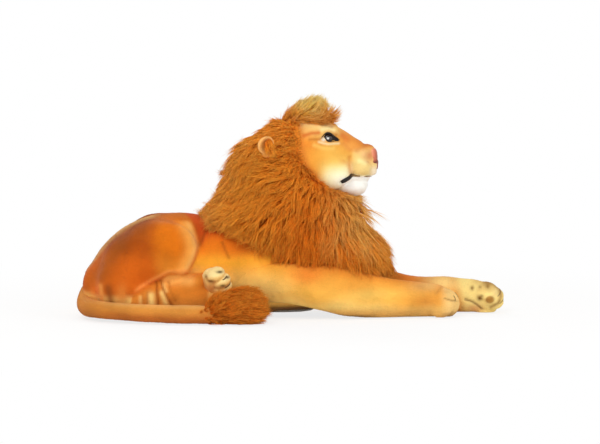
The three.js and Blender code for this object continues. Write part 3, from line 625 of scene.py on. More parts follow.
def roots_on(piece, count, wanted=None, tinted=False):
    """Even random places on a mesh with the surface's way out there, and its painted tint
    if that is asked for. wanted tells, for points in mm and normals, the share that stays."""
    mesh = piece.data
    mesh.calc_loop_triangles()
    tris = read(mesh.loop_triangles, "vertices", 3, np.int32)
    co = points_of(piece)
    a, b, c = co[tris].transpose(1, 0, 2)
    area = np.linalg.norm(np.cross(b - a, c - a), axis=1)
    pick = rng.choice(len(tris), count, p=area / area.sum())
    u = rng.random(count)
    v = rng.random(count)
    flip = u + v > 1
    u[flip], v[flip] = 1 - u[flip], 1 - v[flip]
    share = np.stack([1 - u - v, u, v], 1)[:, :, None]
    place = (co[tris[pick]] * share).sum(1)
    out = (normals_of(piece)[tris[pick]] * share).sum(1)
    out /= np.linalg.norm(out, axis=1)[:, None]
    if wanted is not None:
        stay = rng.random(count) < wanted(place, out)
        place, out, share, pick = place[stay], out[stay], share[stay], pick[stay]
    if tinted:
        rgb = read(mesh.color_attributes["tint"].data, "color", 4)[:, :3]
        return place, out, (rgb[tris[pick]] * share).sum(1)
    return place, out


def locks(name, place, out, flow, length, clumps, lift, droop, gather, curl, wander, tint,
          width=1.0, steps=5, floor=None):
    """Hair as closed tapering strands that gather into wavy locks. flow is the way that
    each root's hair lies, and length its length in mm. The locks are drawn round clumps
    of the roots, and each strand follows its lock and closes on it towards the tip."""
    count = len(place)
    heads = rng.choice(count, min(clumps, count), replace=False)
    tree = KDTree(len(heads))
    for i, h in enumerate(heads):
        tree.insert(place[h], i)
    tree.balance()
    own = np.array([tree.find(p)[1] for p in place])
    own_place = place[heads][own]

    head_out = out[heads]
    swirl = np.array([noise.noise_vector(Vector(p) / SWIRL)[:] for p in place[heads]])
    head_flow = unit(flow[heads] + wander * swirl)
    head_flow = unit(head_flow - (head_flow * head_out).sum(1, keepdims=True) * head_out)
    side = np.cross(head_out, head_flow)
    pace = (length[heads] * rng.uniform(0.8, 1.2, len(heads)) / steps)[:, None]
    s = np.linspace(0, 1, steps + 1)
    path = np.zeros((len(heads), steps + 1, 3))
    phase = rng.uniform(0, TURN, len(heads))
    wave = rng.uniform(0.6, 1.3, len(heads))
    rise = lift * rng.uniform(0.6, 1.4, len(heads))
    for k, t in enumerate(s[:-1]):
        sway = 0.07 * curl * np.cos(phase + wave * t * TURN)
        way = head_out * (rise * (1 - t) ** 1.3)[:, None] + head_flow + DOWN * (droop * t)
        path[:, k + 1] = path[:, k] + unit(way + side * sway[:, None]) * pace

    long = (length / length[heads][own]) * rng.uniform(0.75, 1.15, count)
    closing = 1 - gather * rng.uniform(0.6, 1.15, count)[:, None] * s[None, :] ** 0.8
    stray = rng.normal(size=(count, 1, 3)) * (s**1.5)[None, :, None] * STRAY
    offset = (place - own_place)[:, None, :] * closing[:, :, None]
    centre = path[own] * long[:, None, None] + own_place[:, None, :] + offset + stray
    if floor is not None:
        centre[:, :, 2] = np.maximum(centre[:, :, 2], floor + OFF_FLOOR)

    along = unit(np.gradient(centre, axis=1))
    tilt = unit(out[:, None, :] + 0.7 * rng.normal(size=(count, 1, 3)))
    across = unit(np.cross(along, tilt))
    up = np.cross(across, along)[:, :-1]
    across = across[:, :-1]
    girth = width * rng.uniform(0.7, 1.3, count)[:, None] * (1 - s[None, :] ** 1.6) ** 0.8
    girth = girth[:, :-1, None] * 0.5
    mid = centre[:, :-1]
    ring = np.stack([mid + across * girth, mid - across * girth, mid + up * girth * 0.9], 2)
    points = np.concatenate([ring.reshape(count, steps * 3, 3), centre[:, -1:]], 1)

    root, middle, tip = [tone[:, None] for tone in tint(place)]
    t = np.concatenate([np.repeat(s[:-1], 3), s[-1:]])
    shade = rng.uniform(0.92, 1.08, len(heads))[own] * rng.uniform(0.9, 1.1, count)
    low = mix(root, middle, t / MIDDLE_AT)
    high = mix(middle, tip, np.maximum((t - MIDDLE_AT) / (1 - MIDDLE_AT), 0) ** 1.4)
    rgb = np.where(t[:, None] < MIDDLE_AT, low, high)
    rgb = rgb * shade[:, None, None]
    made = []
    for first in range(0, count, STRANDS_PER_PIECE):
        part = slice(first, first + STRANDS_PER_PIECE)
        number = "" if count <= STRANDS_PER_PIECE else f"_{len(made) + 1}"
        made.append(strand_piece(f"{name}{number}", points[part], rgb[part], steps))
    return made


def nap(name, skin, count, body=None, reach=2.3, material=PILE, wanted=None):
    """Short pile all over a hide: small closed spikes that lean with the nap, towards the
    rump and the floor, and take the hide's painted tint."""
    place, out, rgb = roots_on(skin, count, wanted, tinted=True)
    count = len(place)
    lean = unit(NAP_WAY + 0.35 * rng.normal(size=(count, 3)))
    lean = unit(lean - (lean * out).sum(1, keepdims=True) * out)
    side = np.cross(out, lean)
    long = reach * rng.uniform(0.7, 1.3, (count, 1))
    wide = 0.1 * reach * rng.uniform(0.8, 1.2, (count, 1))
    foot = place - 0.25 * out
    points = np.stack([
        foot + side * wide,
        foot - side * wide,
        foot + lean * wide * 1.2 - 0.5 * out,
        place + (0.92 * lean + 0.16 * out) * long,
    ], 1)
    points[:, :, 2] = np.maximum(points[:, :, 2], 0)
    tint = rgb[:, None] * (rng.uniform(1.0, 1.24, (count, 1, 1)) * NAP_SHADES)
    pieces = []
    for number, first in enumerate(range(0, count, SPIKES_PER_PIECE), 1):
        part = slice(first, first + SPIKES_PER_PIECE)
        piece = strand_piece(f"{name}_{number}", points[part], tint[part], 1)
        piece.data.materials.append(material)
        shade_smooth(piece)
        if body:
            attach(piece, body)
        pieces.append(piece)
    return pieces


def strand_piece(name, points, rgb, steps):
    """One mesh of closed strands, from each strand's rings of three points and its tip."""
    count, per, _ = points.shape
    quads = [
        [k + i, k + (i + 1) % 3, k + 3 + (i + 1) % 3, k + 3 + i]
        for k in range(0, 3 * (steps - 1), 3) for i in range(3)
    ]
    last = (steps - 1) * 3
    ends = [[last + i, last + (i + 1) % 3, last + 3] for i in range(3)]
    ends.append([2, 1, 0])
    shift = (np.arange(count) * per)[:, None, None]
    quads = (np.array(quads, int).reshape(1, -1, 4) + shift).reshape(-1, 4)
    ends = (np.array(ends)[None] + shift).reshape(-1, 3)

    mesh = bpy.data.meshes.new(name)
    mesh.vertices.add(count * per)
    mesh.vertices.foreach_set("co", (points * MM).astype(np.float32).ravel())
    loops = np.concatenate([quads.ravel(), ends.ravel()]).astype(np.int32)
    mesh.loops.add(len(loops))
    mesh.loops.foreach_set("vertex_index", loops)
    sizes = np.repeat([4, 3], [len(quads), len(ends)])
    mesh.polygons.add(len(sizes))
    mesh.polygons.foreach_set("loop_start", (np.cumsum(sizes) - sizes).astype(np.int32))
    mesh.polygons.foreach_set("loop_total", sizes.astype(np.int32))
    mesh.update(calc_edges=True)
    layer = mesh.uv_layers.new(name="OFBake")
    layer.data.foreach_set("uv", strand_cells(count, steps).astype(np.float32).ravel())
    piece = add_object(name, mesh)
    set_tint(piece, rgb.reshape(-1, 3))
    return piece


def strand_cells(count, steps):
    """A flat map of every strand's faces: each strand has a cell, with its three sides
    next to each other and its root's end beside them."""
    edges = 0.03 + 0.29 * np.arange(4)
    quads = []
    for k in range(steps - 1):
        low, high = (k + 0.1) / steps, (k + 1.1) / steps
        for left, right in zip(edges[:-1], edges[1:]):
            quads += [(left, low), (right, low), (right, high), (left, high)]
    ends = []
    base = (steps - 0.9) / steps
    for left, right in zip(edges[:-1], edges[1:]):
        ends += [(left, base), (right, base), ((left + right) / 2, 0.98)]
    ends += [(0.92, 0.3), (0.97, 0.3), (0.945, 0.6)]
    columns = math.ceil(math.sqrt(count))
    cell = np.stack([np.arange(count) % columns, np.arange(count) // columns], 1)[:, None, :]
    return np.concatenate([
        ((np.array(part).reshape(1, -1, 2) + cell) / columns).reshape(-1, 2)
        for part in (quads, ends)
    ])


def long_pile(hair, body, *nodes):
    for piece in hair:
        finish_piece(piece, body, HAIR, "long_pile", *nodes)


# Forms as rows along X

# Share of the length, then height of the middle, half width and half height as shares of the size
TORSO = {"length": 360, "width": 136, "height": 146}
TORSO_START = (-180, 0, 0)
TORSO_ROWS = [
    (0.0, 0.32, 0.0, 0.0), (0.016, 0.31, 0.19, 0.17), (0.048, 0.34, 0.32, 0.276),
    (0.097, 0.375, 0.41, 0.375), (0.164, 0.43, 0.46, 0.44), (0.258, 0.47, 0.495, 0.49),
    (0.38, 0.486, 0.5, 0.492), (0.5, 0.462, 0.49, 0.476), (0.63, 0.462, 0.47, 0.484),
    (0.77, 0.475, 0.44, 0.497), (0.876, 0.472, 0.4, 0.459), (0.95, 0.458, 0.31, 0.363),
    (0.987, 0.452, 0.19, 0.22), (1.0, 0.452, 0.0, 0.0),
]
HAUNCH = {"length": 126, "width": 66, "height": 98}
HAUNCH_START = (-150.1, 58.5, 86.14)
HAUNCH_ROWS = [
    (0.0, -0.17, 0.0, 0.0), (0.06, -0.14, 0.2, 0.2), (0.2, -0.08, 0.36, 0.37),
    (0.4, -0.01, 0.46, 0.48), (0.6, 0.02, 0.5, 0.5), (0.78, 0.04, 0.46, 0.45),
    (0.91, 0.05, 0.34, 0.32), (0.98, 0.07, 0.16, 0.15), (1.0, 0.08, 0.0, 0.0),
]
HIND_FOOT = {"length": 145, "width": 46, "height": 52}
HIND_FOOT_START = (-152.2, 70, 0)
HIND_FOOT_ROWS = [
    (0.0, 0.46, 0.0, 0.0), (0.05, 0.46, 0.26, 0.28), (0.16, 0.47, 0.42, 0.45),
    (0.36, 0.5, 0.48, 0.5), (0.6, 0.6, 0.46, 0.46), (0.8, 0.78, 0.42, 0.38),
    (0.93, 0.94, 0.34, 0.3), (1.0, 1.02, 0.0, 0.0),
]


def along_x(start, size, rows, sign=1):
    length, width, height = size["length"], size["width"], size["height"]
    return [
        [start[0] + x * length, start[1] * sign, start[2] + z * height, w * width, h * height]
        for x, z, w, h in rows
    ]


# The body: torso, haunches and hind feet in one hide

# What fills the torso out at the rump, thighs and heels: centre and radii
THIGH_EGGS = [
    ((-80, 40, 88), (54, 42, 51)), ((-104, 40, 70), (56, 42, 52)), ((-128, 56, 46), (38, 35, 45)),
    ((-151, 21, 41), (36, 37, 39)),
]
CHEST_LIFT = 7
# Routes on the body in side view, as X and Z
THIGH_EDGE = [
    (-58, 148), (-46, 146), (-38, 137), (-32, 127), (-27, 115), (-24.5, 102), (-29, 87),
    (-37, 72), (-46, 62),
]
THIGH_FOLD = [(-40, 67), (-64, 66.5), (-83, 56), (-98, 47.5), (-114, 37)]
# How low the thigh's cloth reaches along X: over the foot's fold, and down to the floor behind
FOLD_LEVEL = [(-122, 0), (-114, 37), (-98, 47), (-83, 56), (-64, 66), (-40, 67)]
FLANK_SEAM = [(-9, 134), (-12, 122), (-21, 103)]
FLANK_CREASE = [(11, 107), (15, 97), (20, 86)]
# Folds of the lower hind leg: route, depth and width
SHANK_FOLDS = [
    ([(-100, 38), (-99, 30), (-99, 19)], 1.0, 2.2), ([(-94, 40), (-94, 30), (-94, 18)], 1.3, 2.2),
    ([(-81, 54), (-80, 42), (-78, 20)], 2.8, 2.4),
    ([(-75, 56), (-72, 46), (-66, 34), (-59, 20)], 2.4, 2.4),
    ([(-64, 54), (-61, 42), (-55, 28)], 1.2, 2.6),
]
# Painted highlights on the crests beside those folds: route, strength and width
SHANK_HIGHLIGHTS = [
    ([(-88, 36), (-87, 22)], 0.95, 4.8), ([(-73, 40), (-68, 26)], 0.75, 3.4),
    ([(-103, 34), (-103, 20)], 0.5, 2.4), ([(-71, 50), (-67, 42)], 0.5, 2.6),
]
# How deep the cloth is pressed in along each route, in mm, and how far it stands out beside it
BODY_FOLDS = [
    *[(deep, route, width, "shin") for route, deep, width in SHANK_FOLDS],
    (1.1, beside(THIGH_FOLD, 0, -3), 2.6, "leg"),
    (1.7, FLANK_SEAM, 2.6, "side"),
    (1.6, FLANK_CREASE, 2.6, "side"),
    (0.9, beside(THIGH_EDGE, 7), 3.8, "thigh"),
    (1.3, beside(THIGH_EDGE, 7), 3.8, "thigh", "high"),
]
BODY_RIDGES = [
    (1.4, beside(THIGH_EDGE, -4), 5.5, "thigh", "front"),
    (1.4, beside(THIGH_FOLD, -1, 3), 3.4, "leg"),
]
# Height and X of the line where the thigh's orange meets the rump, and of the thigh's front
THIGH_SPLIT = [(50, -76), (90, -84), (122, -88), (136, -84), (146, -68)]
THIGH_FRONT = [
    (60, -44), (72, -35), (87, -26), (102, -21), (115, -24), (127, -29), (137, -35), (148, -50),
]
# Marks on the body: colour, strength, place and radii or route and width, and masks
THIGH_MARKS = [
    ((248, 170, 76), 0.85, beside(THIGH_EDGE, -7), 8.5, "flank", "inside", "front"),
    # A narrow painted highlight on the ridge of the thigh's pale edge
    ((252, 190, 104), 0.75, beside(THIGH_EDGE, -2), 3.4, "flank", "front"),
    # Painted shade in the fold just ahead of the thigh's edge, up high
    ((168, 78, 20), 0.6, beside(THIGH_EDGE, 6), 2.6, "flank", "high"),
    ((200, 76, 20), 0.85, (-17, 121), (9, 13), "flank"),
    # Painted shade in the flank's seam and crease
    ((140, 66, 20), 0.5, FLANK_SEAM, 1.9, "flank"),
    ((140, 66, 20), 0.5, FLANK_CREASE, 1.9, "flank"),
]
FOOT_MARKS = [
    ((252, 184, 96), 0.8, [(-66, 56), (-50, 58), (-34, 57)], 7, "foot"),
    ((246, 152, 72), 0.75, beside(THIGH_FOLD, 0, 3), 3.0, "leg", "before_heel"),
    # Painted shade under the thigh's fold
    ((196, 92, 26), 0.5, beside(THIGH_FOLD, 0, -3), 2.4, "leg", "behind"),
    # Painted highlights on the crests between the shank's folds
    *[
        ((255, 214, 128), min(1, 1.1 * strength), route, width, "leg", "below")
        for route, strength, width in SHANK_HIGHLIGHTS
    ],
    # Painted shade in the shank's folds, darker where they are deeper
    *[
        ((150, 76, 22), min(0.8, deep / 3.2), route, 1.8, "leg")
        for route, deep, _ in SHANK_FOLDS
    ],
    ((236, 118, 36), 0.85, (-166, 42), (9, 12), "hock"),
    # A painted highlight on the hock's ridge, and a painted shadow in the hollow just ahead of it
    ((240, 156, 72), 0.8, [(-159, 48), (-157, 30)], 3.4, "hock"),
    ((140, 70, 22), 0.8, [(-148, 46), (-144, 26)], 6.5, "hock"),
    ((226, 138, 58), 0.75, (-129, 36), (8, 14), "hock"),
]


def rump_shapes():
    shapes = [swell(along_x(TORSO_START, TORSO, TORSO_ROWS), 64, 110)]
    for sign in (1, -1):
        shapes.append(swell(along_x(HAUNCH_START, HAUNCH, HAUNCH_ROWS, sign), 48, 60))
        for (x, y, z), radii in THIGH_EGGS:
            shapes.append(egg((x, sign * y, z), radii, around=40))
    return shapes


def smooth_rump():
    """Rump and thighs as one soft form: a coarse skin, smoothed and then split finer."""
    form = grid_melt("rump_form", rump_shapes(), 7.0)
    relax(form, 45)
    split_finer(form, 2)
    tree = tree_of(form)
    bpy.data.objects.remove(form)
    return tree


def make_body():
    shapes = rump_shapes()
    for sign in (1, -1):
        foot = along_x(HIND_FOOT_START, HIND_FOOT, HIND_FOOT_ROWS, sign)
        shapes.append(swell(foot, 40, 50))
        shapes.append(egg((-34, sign * 72, 27), (40, 21, 27), around=32))
    body = grid_melt("body_hide", shapes, 2.3)
    relax(body, 5)
    co = points_of(body)
    # The rump, where thigh and back are one cloth, takes the soft form
    above = np.interp(co[:, 0], *np.array(FOLD_LEVEL).T)
    rump = step(-48, -60, co[:, 0]) * step(above, above + 12, co[:, 2])
    rump = np.maximum(rump, step(36, 20, np.abs(co[:, 1])) * step(-48, -60, co[:, 0]))
    form = smooth_rump()
    for i in np.flatnonzero(rump > 0.01):
        near_point = np.array(form.find_nearest(Vector(co[i]))[0])
        co[i] += rump[i] * (near_point - co[i])
    set_points(body, co)
    fresh_skin(body, 2.2)
    x, _, z = points_of(body).T
    relax(body, 26, keep=1 - 0.9 * step(-44, -56, x) * step(44, 60, z))
    relax(body, 4)
    co, no = points_of(body), normals_of(body)
    x, y, z = co.T
    side = step(30, 52, np.abs(y))
    co -= no * depth_of(
        co, BODY_FOLDS, side=side, shin=step(64, 76, np.abs(y)), leg=step(58, 70, np.abs(y)),
        thigh=step(36, 50, np.abs(y)), high=step(84, 108, z),
    )
    co += no * depth_of(
        co, BODY_RIDGES, thigh=step(36, 50, np.abs(y)), leg=step(58, 70, np.abs(y)),
        front=step(-62, -46, x),
    )
    co += no * lump(co, 34, 5, 0.9)[:, None] * side[:, None]
    set_points(body, co)
    relax(body, 3)
    settle(body)
    # The chest's underside lies a little off the floor
    co = points_of(body)
    lift = CHEST_LIFT * step(58, 96, co[:, 0])
    co[:, 2] = np.where(co[:, 2] < 2 * lift, lift + co[:, 2] / 2, co[:, 2])
    set_points(body, co)
    paint_body(body)
    nap("body_nap", body, 70000, "torso")
    finish_piece(
        body, "torso", PILE, "short_pile",
        "torso_skin", "haunch_left", "haunch_right", "hind_foot_left", "hind_foot_right",
    )


def flank_tint(co):
    """Reddish under the mane, yellow-orange in the middle and pale towards the belly."""
    z = co[:, 2]
    wave = lump(co, 44, 3)
    rgb = mix(colour(255, 208, 116), colour(255, 174, 52), step(40, 84, z + 7 * wave))
    return lay(rgb, co, [
        ((240, 122, 24), 0.9 * step(80, 104, z + 6 * wave)),
        ((206, 84, 22), step(106, 128, z + 5 * wave)),
        ((214, 104, 24), 0.7, (40, 100), (22, 12)),
    ])


def paint_body(body):
    co, no = points_of(body), normals_of(body)
    x, y, z = co.T
    depth = np.abs(y)
    wave = lump(co, 44, 3)
    fine = lump(co, 15, 6)
    # shade is a painted shadow along the bottom of the chest, where it lies just off the floor
    shade = step(22, 12, z) * step(44, 62, x)
    rgb = lay(flank_tint(co), co, [
        ((228, 152, 74), 0.7, (-34, 66), (20, 9), "flank"),
        # Painted shadow under the chest
        ((104, 52, 18), 0.85 * shade),
    ], flank=step(-50, -34, x))
    # Rump and thigh
    rump = mix(colour(170, 76, 12), colour(204, 96, 20), step(112, 66, z + 8 * wave))
    rump = lay(rump, co, [
        ((156, 80, 22), 0.7 * step(100, 132, z + 6 * wave)),
        ((216, 102, 20), 0.7, (-100, 78), (24, 18)),
        ((160, 84, 22), 0.6, [(-166, 48), (-154, 78), (-132, 106)], 12),
    ])
    orange = mix(colour(214, 112, 18), colour(230, 138, 42), step(104, 66, z + 7 * wave))
    orange = mix(orange, colour(190, 106, 34), 0.8 * step(126, 146, z + 3 * fine))
    split = np.interp(z, *np.transpose(THIGH_SPLIT))
    thigh = mix(orange, rump, step(split + 13, split - 13, x + 5 * wave + 3 * fine))
    thigh = lay(thigh, co, [((186, 84, 18), 0.4, [(-86, 130), (-88, 118)], 6)])
    edge = np.interp(z, *np.transpose(THIGH_FRONT))
    inside = step(edge + 3, edge, x)
    rgb = mix(rgb, thigh, inside * step(28, 40, z))
    rgb = lay(
        rgb, co, THIGH_MARKS, flank=step(26, 40, depth), inside=inside,
        front=step(-66, -46, x), high=step(92, 114, z),
    )
    # Lower hind leg, a painted highlight along the top of the back, and the belly
    level = np.interp(x, *np.transpose(FOLD_LEVEL))
    foot = step(level + 1, level - 3, z) * step(56, 68, depth) * step(-2, -12, x)
    shank = mix(colour(228, 146, 58), colour(218, 127, 40), step(14, 44, z + 3 * fine))
    # Painted highlight where the rump's back faces up
    back_highlight = step(0.3, 0.9, no[:, 2] - 0.35 * no[:, 0]) * step(-72, -90, x)
    belly = step(0.1, -0.8, no[:, 2]) * (1 - shade) * step(60, 48, depth)
    set_tint(body, lay(
        mix(rgb, shank, foot), co, [
            ((255, 206, 110), 0.85 * step(26, 14, z) * foot),
            *FOOT_MARKS,
            ((224, 178, 112), 0.75 * back_highlight * step(34, 0, depth + 4 * fine)),
            ((255, 198, 94), 0.6 * belly),
        ],
        foot=foot, leg=step(58, 70, depth), hock=step(20, 40, depth),
        before_heel=step(-116, -104, x), behind=step(-60, -76, x),
        below=step(level, level - 6, z),
    ))


# Paws

def paw_shapes(size, matrix):
    length, width, height = size
    palm = length * 0.74
    stride = width / 4
    eggs = [((palm / 2 - length, 0, 0), (palm / 2, width * 0.475, height * 0.465))]
    for i in range(4):
        y = (i + 0.5) * stride - width / 2
        back = 0.15 * length if i in (0, 3) else 0
        eggs.append((
            (-length * 0.3 - back, y * 0.88, -height * 0.08),
            (length * 0.3, stride * 0.76, height * 0.43),
        ))
    return [moved(egg(centre, radii), matrix) for centre, radii in eggs]


def toe_lines(name, skin, size, matrix, reach, thickness=0.8):
    """Dark stitched lines between the toes, laid on the paw's skin."""
    length, width, height = size
    tree = tree_of(skin)
    turn = matrix.to_3x3()
    shapes = []
    for y in (-width / 4, 0, width / 4):
        start = matrix @ Vector((-length * 0.3, y, -height * 0.06))
        line = []
        for angle in np.linspace(*reach, 9) * math.pi:
            way = turn @ Vector((math.cos(angle), 0, math.sin(angle)))
            hit = tree.ray_cast(start + way * 60, -way)
            if hit[0] is not None:
                line.append(np.array(hit[0] + hit[1] * 0.15))
        shapes.append(tube(line, thickness))
    return new_object(name, *join_shapes(shapes))


def stitches(leg, name):
    return [f"toe_stitch_{leg}_{name}_{i}" for i in (1, 2, 3)]


# Forelegs

FORELEG = {"width": 58, "height": 82}
# Share of the reach, share of the way in, half width, height of the middle and half height
FORELEG_ROWS = [
    (0.0, 0.0, 0.5, 0.62, 0.36), (0.11, 0.04, 0.5, 0.59, 0.385), (0.24, 0.16, 0.48, 0.525, 0.42),
    (0.36, 0.32, 0.44, 0.445, 0.425), (0.56, 0.66, 0.4, 0.335, 0.35),
    (0.72, 0.92, 0.37, 0.295, 0.31), (0.81, 1.0, 0.36, 0.28, 0.29),
    (0.87, 1.0, 0.34, 0.272, 0.275), (0.93, 1.0, 0.27, 0.262, 0.2), (0.965, 1.0, 0.0, 0.26, 0.0),
]
# The shoulder, behind its turning axis: how far behind, inward and down, and its size share
SHOULDER_ROWS = [
    (96, 12, 2, 0.0), (88, 11, 2, 0.3), (70, 8, 1, 0.55), (45, 4, 0, 0.8), (20, 1, 0, 0.96),
]
SHOULDER_X = 100
SHOULDER_Y = 54
REACH = {"left": 308, "right": 244}
SIGN = {"left": 1, "right": -1}
# The paws' length, width and height, the fore paws' roll in degrees and their tips' height
FORE_PAW = {"left": (60, 41, 45), "right": (60, 43, 44)}
FORE_PAW_ROLL = {"left": -62, "right": 0}
FORE_PAW_LEVEL = {"left": 20.6, "right": 21.4}
HIND_PAW = (44, 46, 36)
TOE_LINE_REACH = {"left": (-0.3, 0.22), "right": (0.09, 0.3)}
# Routes and places on the paws in side view
FAR_RIM = [(381, 42), (394, 40), (401, 33), (403.5, 23), (399.5, 14), (389, 8)]
FAR_CREASE = [(353, 19.4), (362, 16.6), (369, 12.2), (376, 5.6)]
NEAR_TOE_LINE = [(322.6, 27.4), (330.9, 24.3), (341.5, 21.8)]
FAR_PAD = (387.5, 19.5)
FAR_PADS = [
    ((362.6, 35.0), (2.6, 3.2), 0.9), ((373.8, 36.4), (1.9, 1.7), 0.7),
    ((385.0, 37.6), (3.0, 3.2), 0.85), ((373.4, 21.4), (3.6, 3.8), 1.0),
    ((376, 25), (2.4, 2.4), 0.6),
]


def leg_rows(name):
    sign = SIGN[name]
    width, height = FORELEG["width"], FORELEG["height"]
    _, _, w0, z0, h0 = FORELEG_ROWS[0]
    rows = [
        [
            SHOULDER_X - behind, sign * (SHOULDER_Y - inward), z0 * height - drop,
            w0 * width * size, h0 * height * size,
        ]
        for behind, inward, drop, size in SHOULDER_ROWS
    ]
    for along, inward, w, z, h in FORELEG_ROWS:
        slim = 0.035 * step(0.3, 0.45, along) * step(0.72, 0.6, along) if name == "left" else 0
        rows.append([
            SHOULDER_X + along * REACH[name], sign * (SHOULDER_Y - 26 * inward),
            (z - slim) * height, w * width, (h - slim) * height,
        ])
    return rows


def fore_paw_matrix(name):
    tip = Vector((SHOULDER_X + REACH[name], SIGN[name] * 28, FORE_PAW_LEVEL[name]))
    roll = math.radians(FORE_PAW_ROLL[name])
    return Matrix.Translation(tip) @ Matrix.Rotation(roll, 4, "X")


def hind_paw_matrix(name):
    sign = SIGN[name]
    yaw = Matrix.Rotation(math.radians(sign * 22), 4, "Z")
    wrist = Vector((-7.2, sign * 70, 53.04))
    tip = wrist + yaw @ Vector((HIND_PAW[0] * 0.76, 0, 0))
    return Matrix.Translation(tip) @ yaw @ Matrix.Rotation(math.radians(sign * 62), 4, "X")


def make_foreleg(name):
    body = f"foreleg_{name}"
    sign = SIGN[name]
    matrix = fore_paw_matrix(name)
    _, width, height = FORE_PAW[name]
    wrist = moved(egg((-46, 0, 0), (38, width * 0.5, height * 0.49)), matrix)
    toes = moved(egg((-21.5, 0, 0), (20, width * 0.42, height * 0.4)), matrix)
    shapes = [swell(leg_rows(name), 44, 90), wrist, toes, *paw_shapes(FORE_PAW[name], matrix)]
    leg = grid_melt(f"{body}_hide", shapes, 1.9)
    paw_x = SHOULDER_X + REACH[name] - 62
    relax(leg, 5)
    x = points_of(leg)[:, 0]
    toes = step(paw_x + 34, paw_x + 46, x) if name == "right" else 0
    keep = 1 - 0.9 * step(paw_x - 30, paw_x - 6, x) * (1 - 0.8 * toes)
    relax(leg, {"left": 60, "right": 40}[name], keep)
    co, no = points_of(leg), normals_of(leg)
    co += no * (lump(co, 38, 11 + sign, 1.0) * step(paw_x, paw_x - 30, co[:, 0]))[:, None]
    if name == "right":
        dent = 1.1 * stroke(co, NEAR_TOE_LINE, 1.8) * step(-30, -42, co[:, 1])
    else:
        facing = step(0.35, -0.15, no[:, 1])
        dent = 1.5 * stroke(co, FAR_CREASE, 2.0) * facing
        dent -= 1.8 * step(0.2, 0.7, near(co, FAR_PAD, (7, 6.4))) * facing
    co -= no * dent[:, None]
    set_points(leg, co)
    relax(leg, 1)
    settle(leg)
    paint_foreleg(leg, name)
    leg.data.materials.append(PILE)
    shade_smooth(leg)
    for piece in [leg, *nap(f"{body}_nap", leg, 26000)]:
        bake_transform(piece)
    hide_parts(f"foreleg_{name}", f"forepaw_{name}")
    lines = toe_lines(
        f"toe_lines_fore_{name}", leg, FORE_PAW[name], matrix, TOE_LINE_REACH[name], 0.45,
    )
    finish_piece(lines, body, TOE_THREAD, "black_thread", *stitches("fore", name))


def paint_foreleg(leg, name):
    co, no = points_of(leg), normals_of(leg)
    x, y, z = co.T
    paw_x = SHOULDER_X + REACH[name] - 50
    height = z / np.interp(x, [70, 170, 240, 340], [80, 76, 56, 46])
    wave = lump(co, 36, 22)
    low = step(0.1, 0.5, height + lump(co, 44, 21, 0.12))
    rgb = mix(colour(255, 216, 126), colour(255, 190, 82), low)
    rgb = mix(rgb, colour(238, 150, 52), step(0.55, 0.98, height + 0.1 * wave))
    rgb = mix(flank_tint(co), rgb, step(66, 128, x + 8 * wave))
    rgb = lay(rgb, co, [
        ((236, 120, 38), 0.6, (128, 62), (24, 14)),
        ((246, 158, 58), 0.6, (193, 44), (32, 9)),
        ((250, 200, 100), 0.8, (212, 33), (40, 10)),
        ((228, 144, 58), 0.75, (298, 24), (34, 12)),
        # Painted shade on the leg's underside, and along its bottom edge a dark line, partly the
        # cloth's darker edge and partly painted contact shadow
        ((222, 164, 86), 0.7 * step(20, 6, z) * step(120, 170, x)),
        ((130, 90, 48), 0.7 * step(7, 2, z) * step(130, 160, x) * step(236, 206, x)),
    ])
    if name == "right":
        rgb = lay(rgb, co, [
            ((222, 168, 98), 0.8, (294, 44), (24, 8)),
            ((240, 200, 128), 0.9 * step(paw_x + 20, paw_x + 36, x + 2 * wave)),
            ((240, 190, 112), 0.6, (305, 44), (12, 6)),
            ((226, 186, 138), 0.7, [(324, 39.5), (332, 40)], 2.0, "outer"),
            ((190, 130, 64), 0.4, [(311, 34.5), (315, 38.5), (318, 41.5)], 2.2),
            ((140, 98, 46), 0.7, NEAR_TOE_LINE, 1.2, "outer"),
            # Painted shade under the paw's tip
            ((150, 104, 50), 0.6 * step(10, 3, z) * step(paw_x + 14, paw_x + 34, x)),
        ], outer=step(-30, -42, y))
    else:
        top = step(0.2, 0.9, no[:, 2]) * step(paw_x + 10, paw_x - 30, x)
        pad = step(0.25, 0.55, near(co, FAR_PAD, (6.4, 5.6)))
        facing = step(0.35, -0.15, no[:, 1])
        rgb = lay(rgb, co, [
            ((216, 140, 58), 0.8 * step(paw_x - 110, paw_x - 10, x)),
            ((186, 104, 34), 0.7 * top),
            ((226, 118, 38), 0.6, (270, 50), (16, 10)),
            ((248, 210, 132), 0.95, (322, 42), (26, 14)),
            ((255, 226, 142), 0.95 * step(338, 356, x + (z - 20) * 0.2)),
            ((252, 220, 150), 0.7, (396.5, 30), (6, 8), "facing"),
            ((240, 172, 108), 0.8, (366, 5), (11, 7), "facing"),
            *[((116, 76, 26), deep, at, radii, "facing") for at, radii, deep in FAR_PADS],
            ((178, 122, 50), 0.9 * pad * facing),
            ((150, 104, 46), 0.7, FAR_RIM, 2.6),
            # Painted shade in the crease along the sole
            ((104, 60, 24), 0.85, FAR_CREASE, 1.4, "facing"),
            ((170, 118, 56), 0.4 * step(0.5, 0.95, no[:, 2]) * step(356, 372, x)),
        ], facing=facing)
    set_tint(leg, rgb)


HIND_MARKS = [
    ((226, 146, 74), 0.85, (-5, 46), (8, 8), "facing"),
    # Painted shade in the crease where the paw meets the leg
    ((206, 130, 60), 0.7, [(-15, 58), (-12, 40), (-11, 34)], 2.6),
    ((50, 42, 22), 0.95, (8.0, 69.5), (5.0, 1.9), "facing"),
    ((66, 50, 24), 0.9, (18.4, 61.5), (3.4, 1.9), "facing"),
    ((96, 72, 30), 0.9, (12.2, 50.6), (4.4, 1.8), "facing"),
    ((120, 76, 30), 0.85, (-4.6, 57.0), (5.0, 2.2), "facing"),
    ((140, 66, 24), 0.8, (-10.4, 38.4), (3.0, 1.8), "facing"),
    ((130, 86, 36), 0.8, (-11.5, 62.5), (2.4, 3.0), "facing"),
]


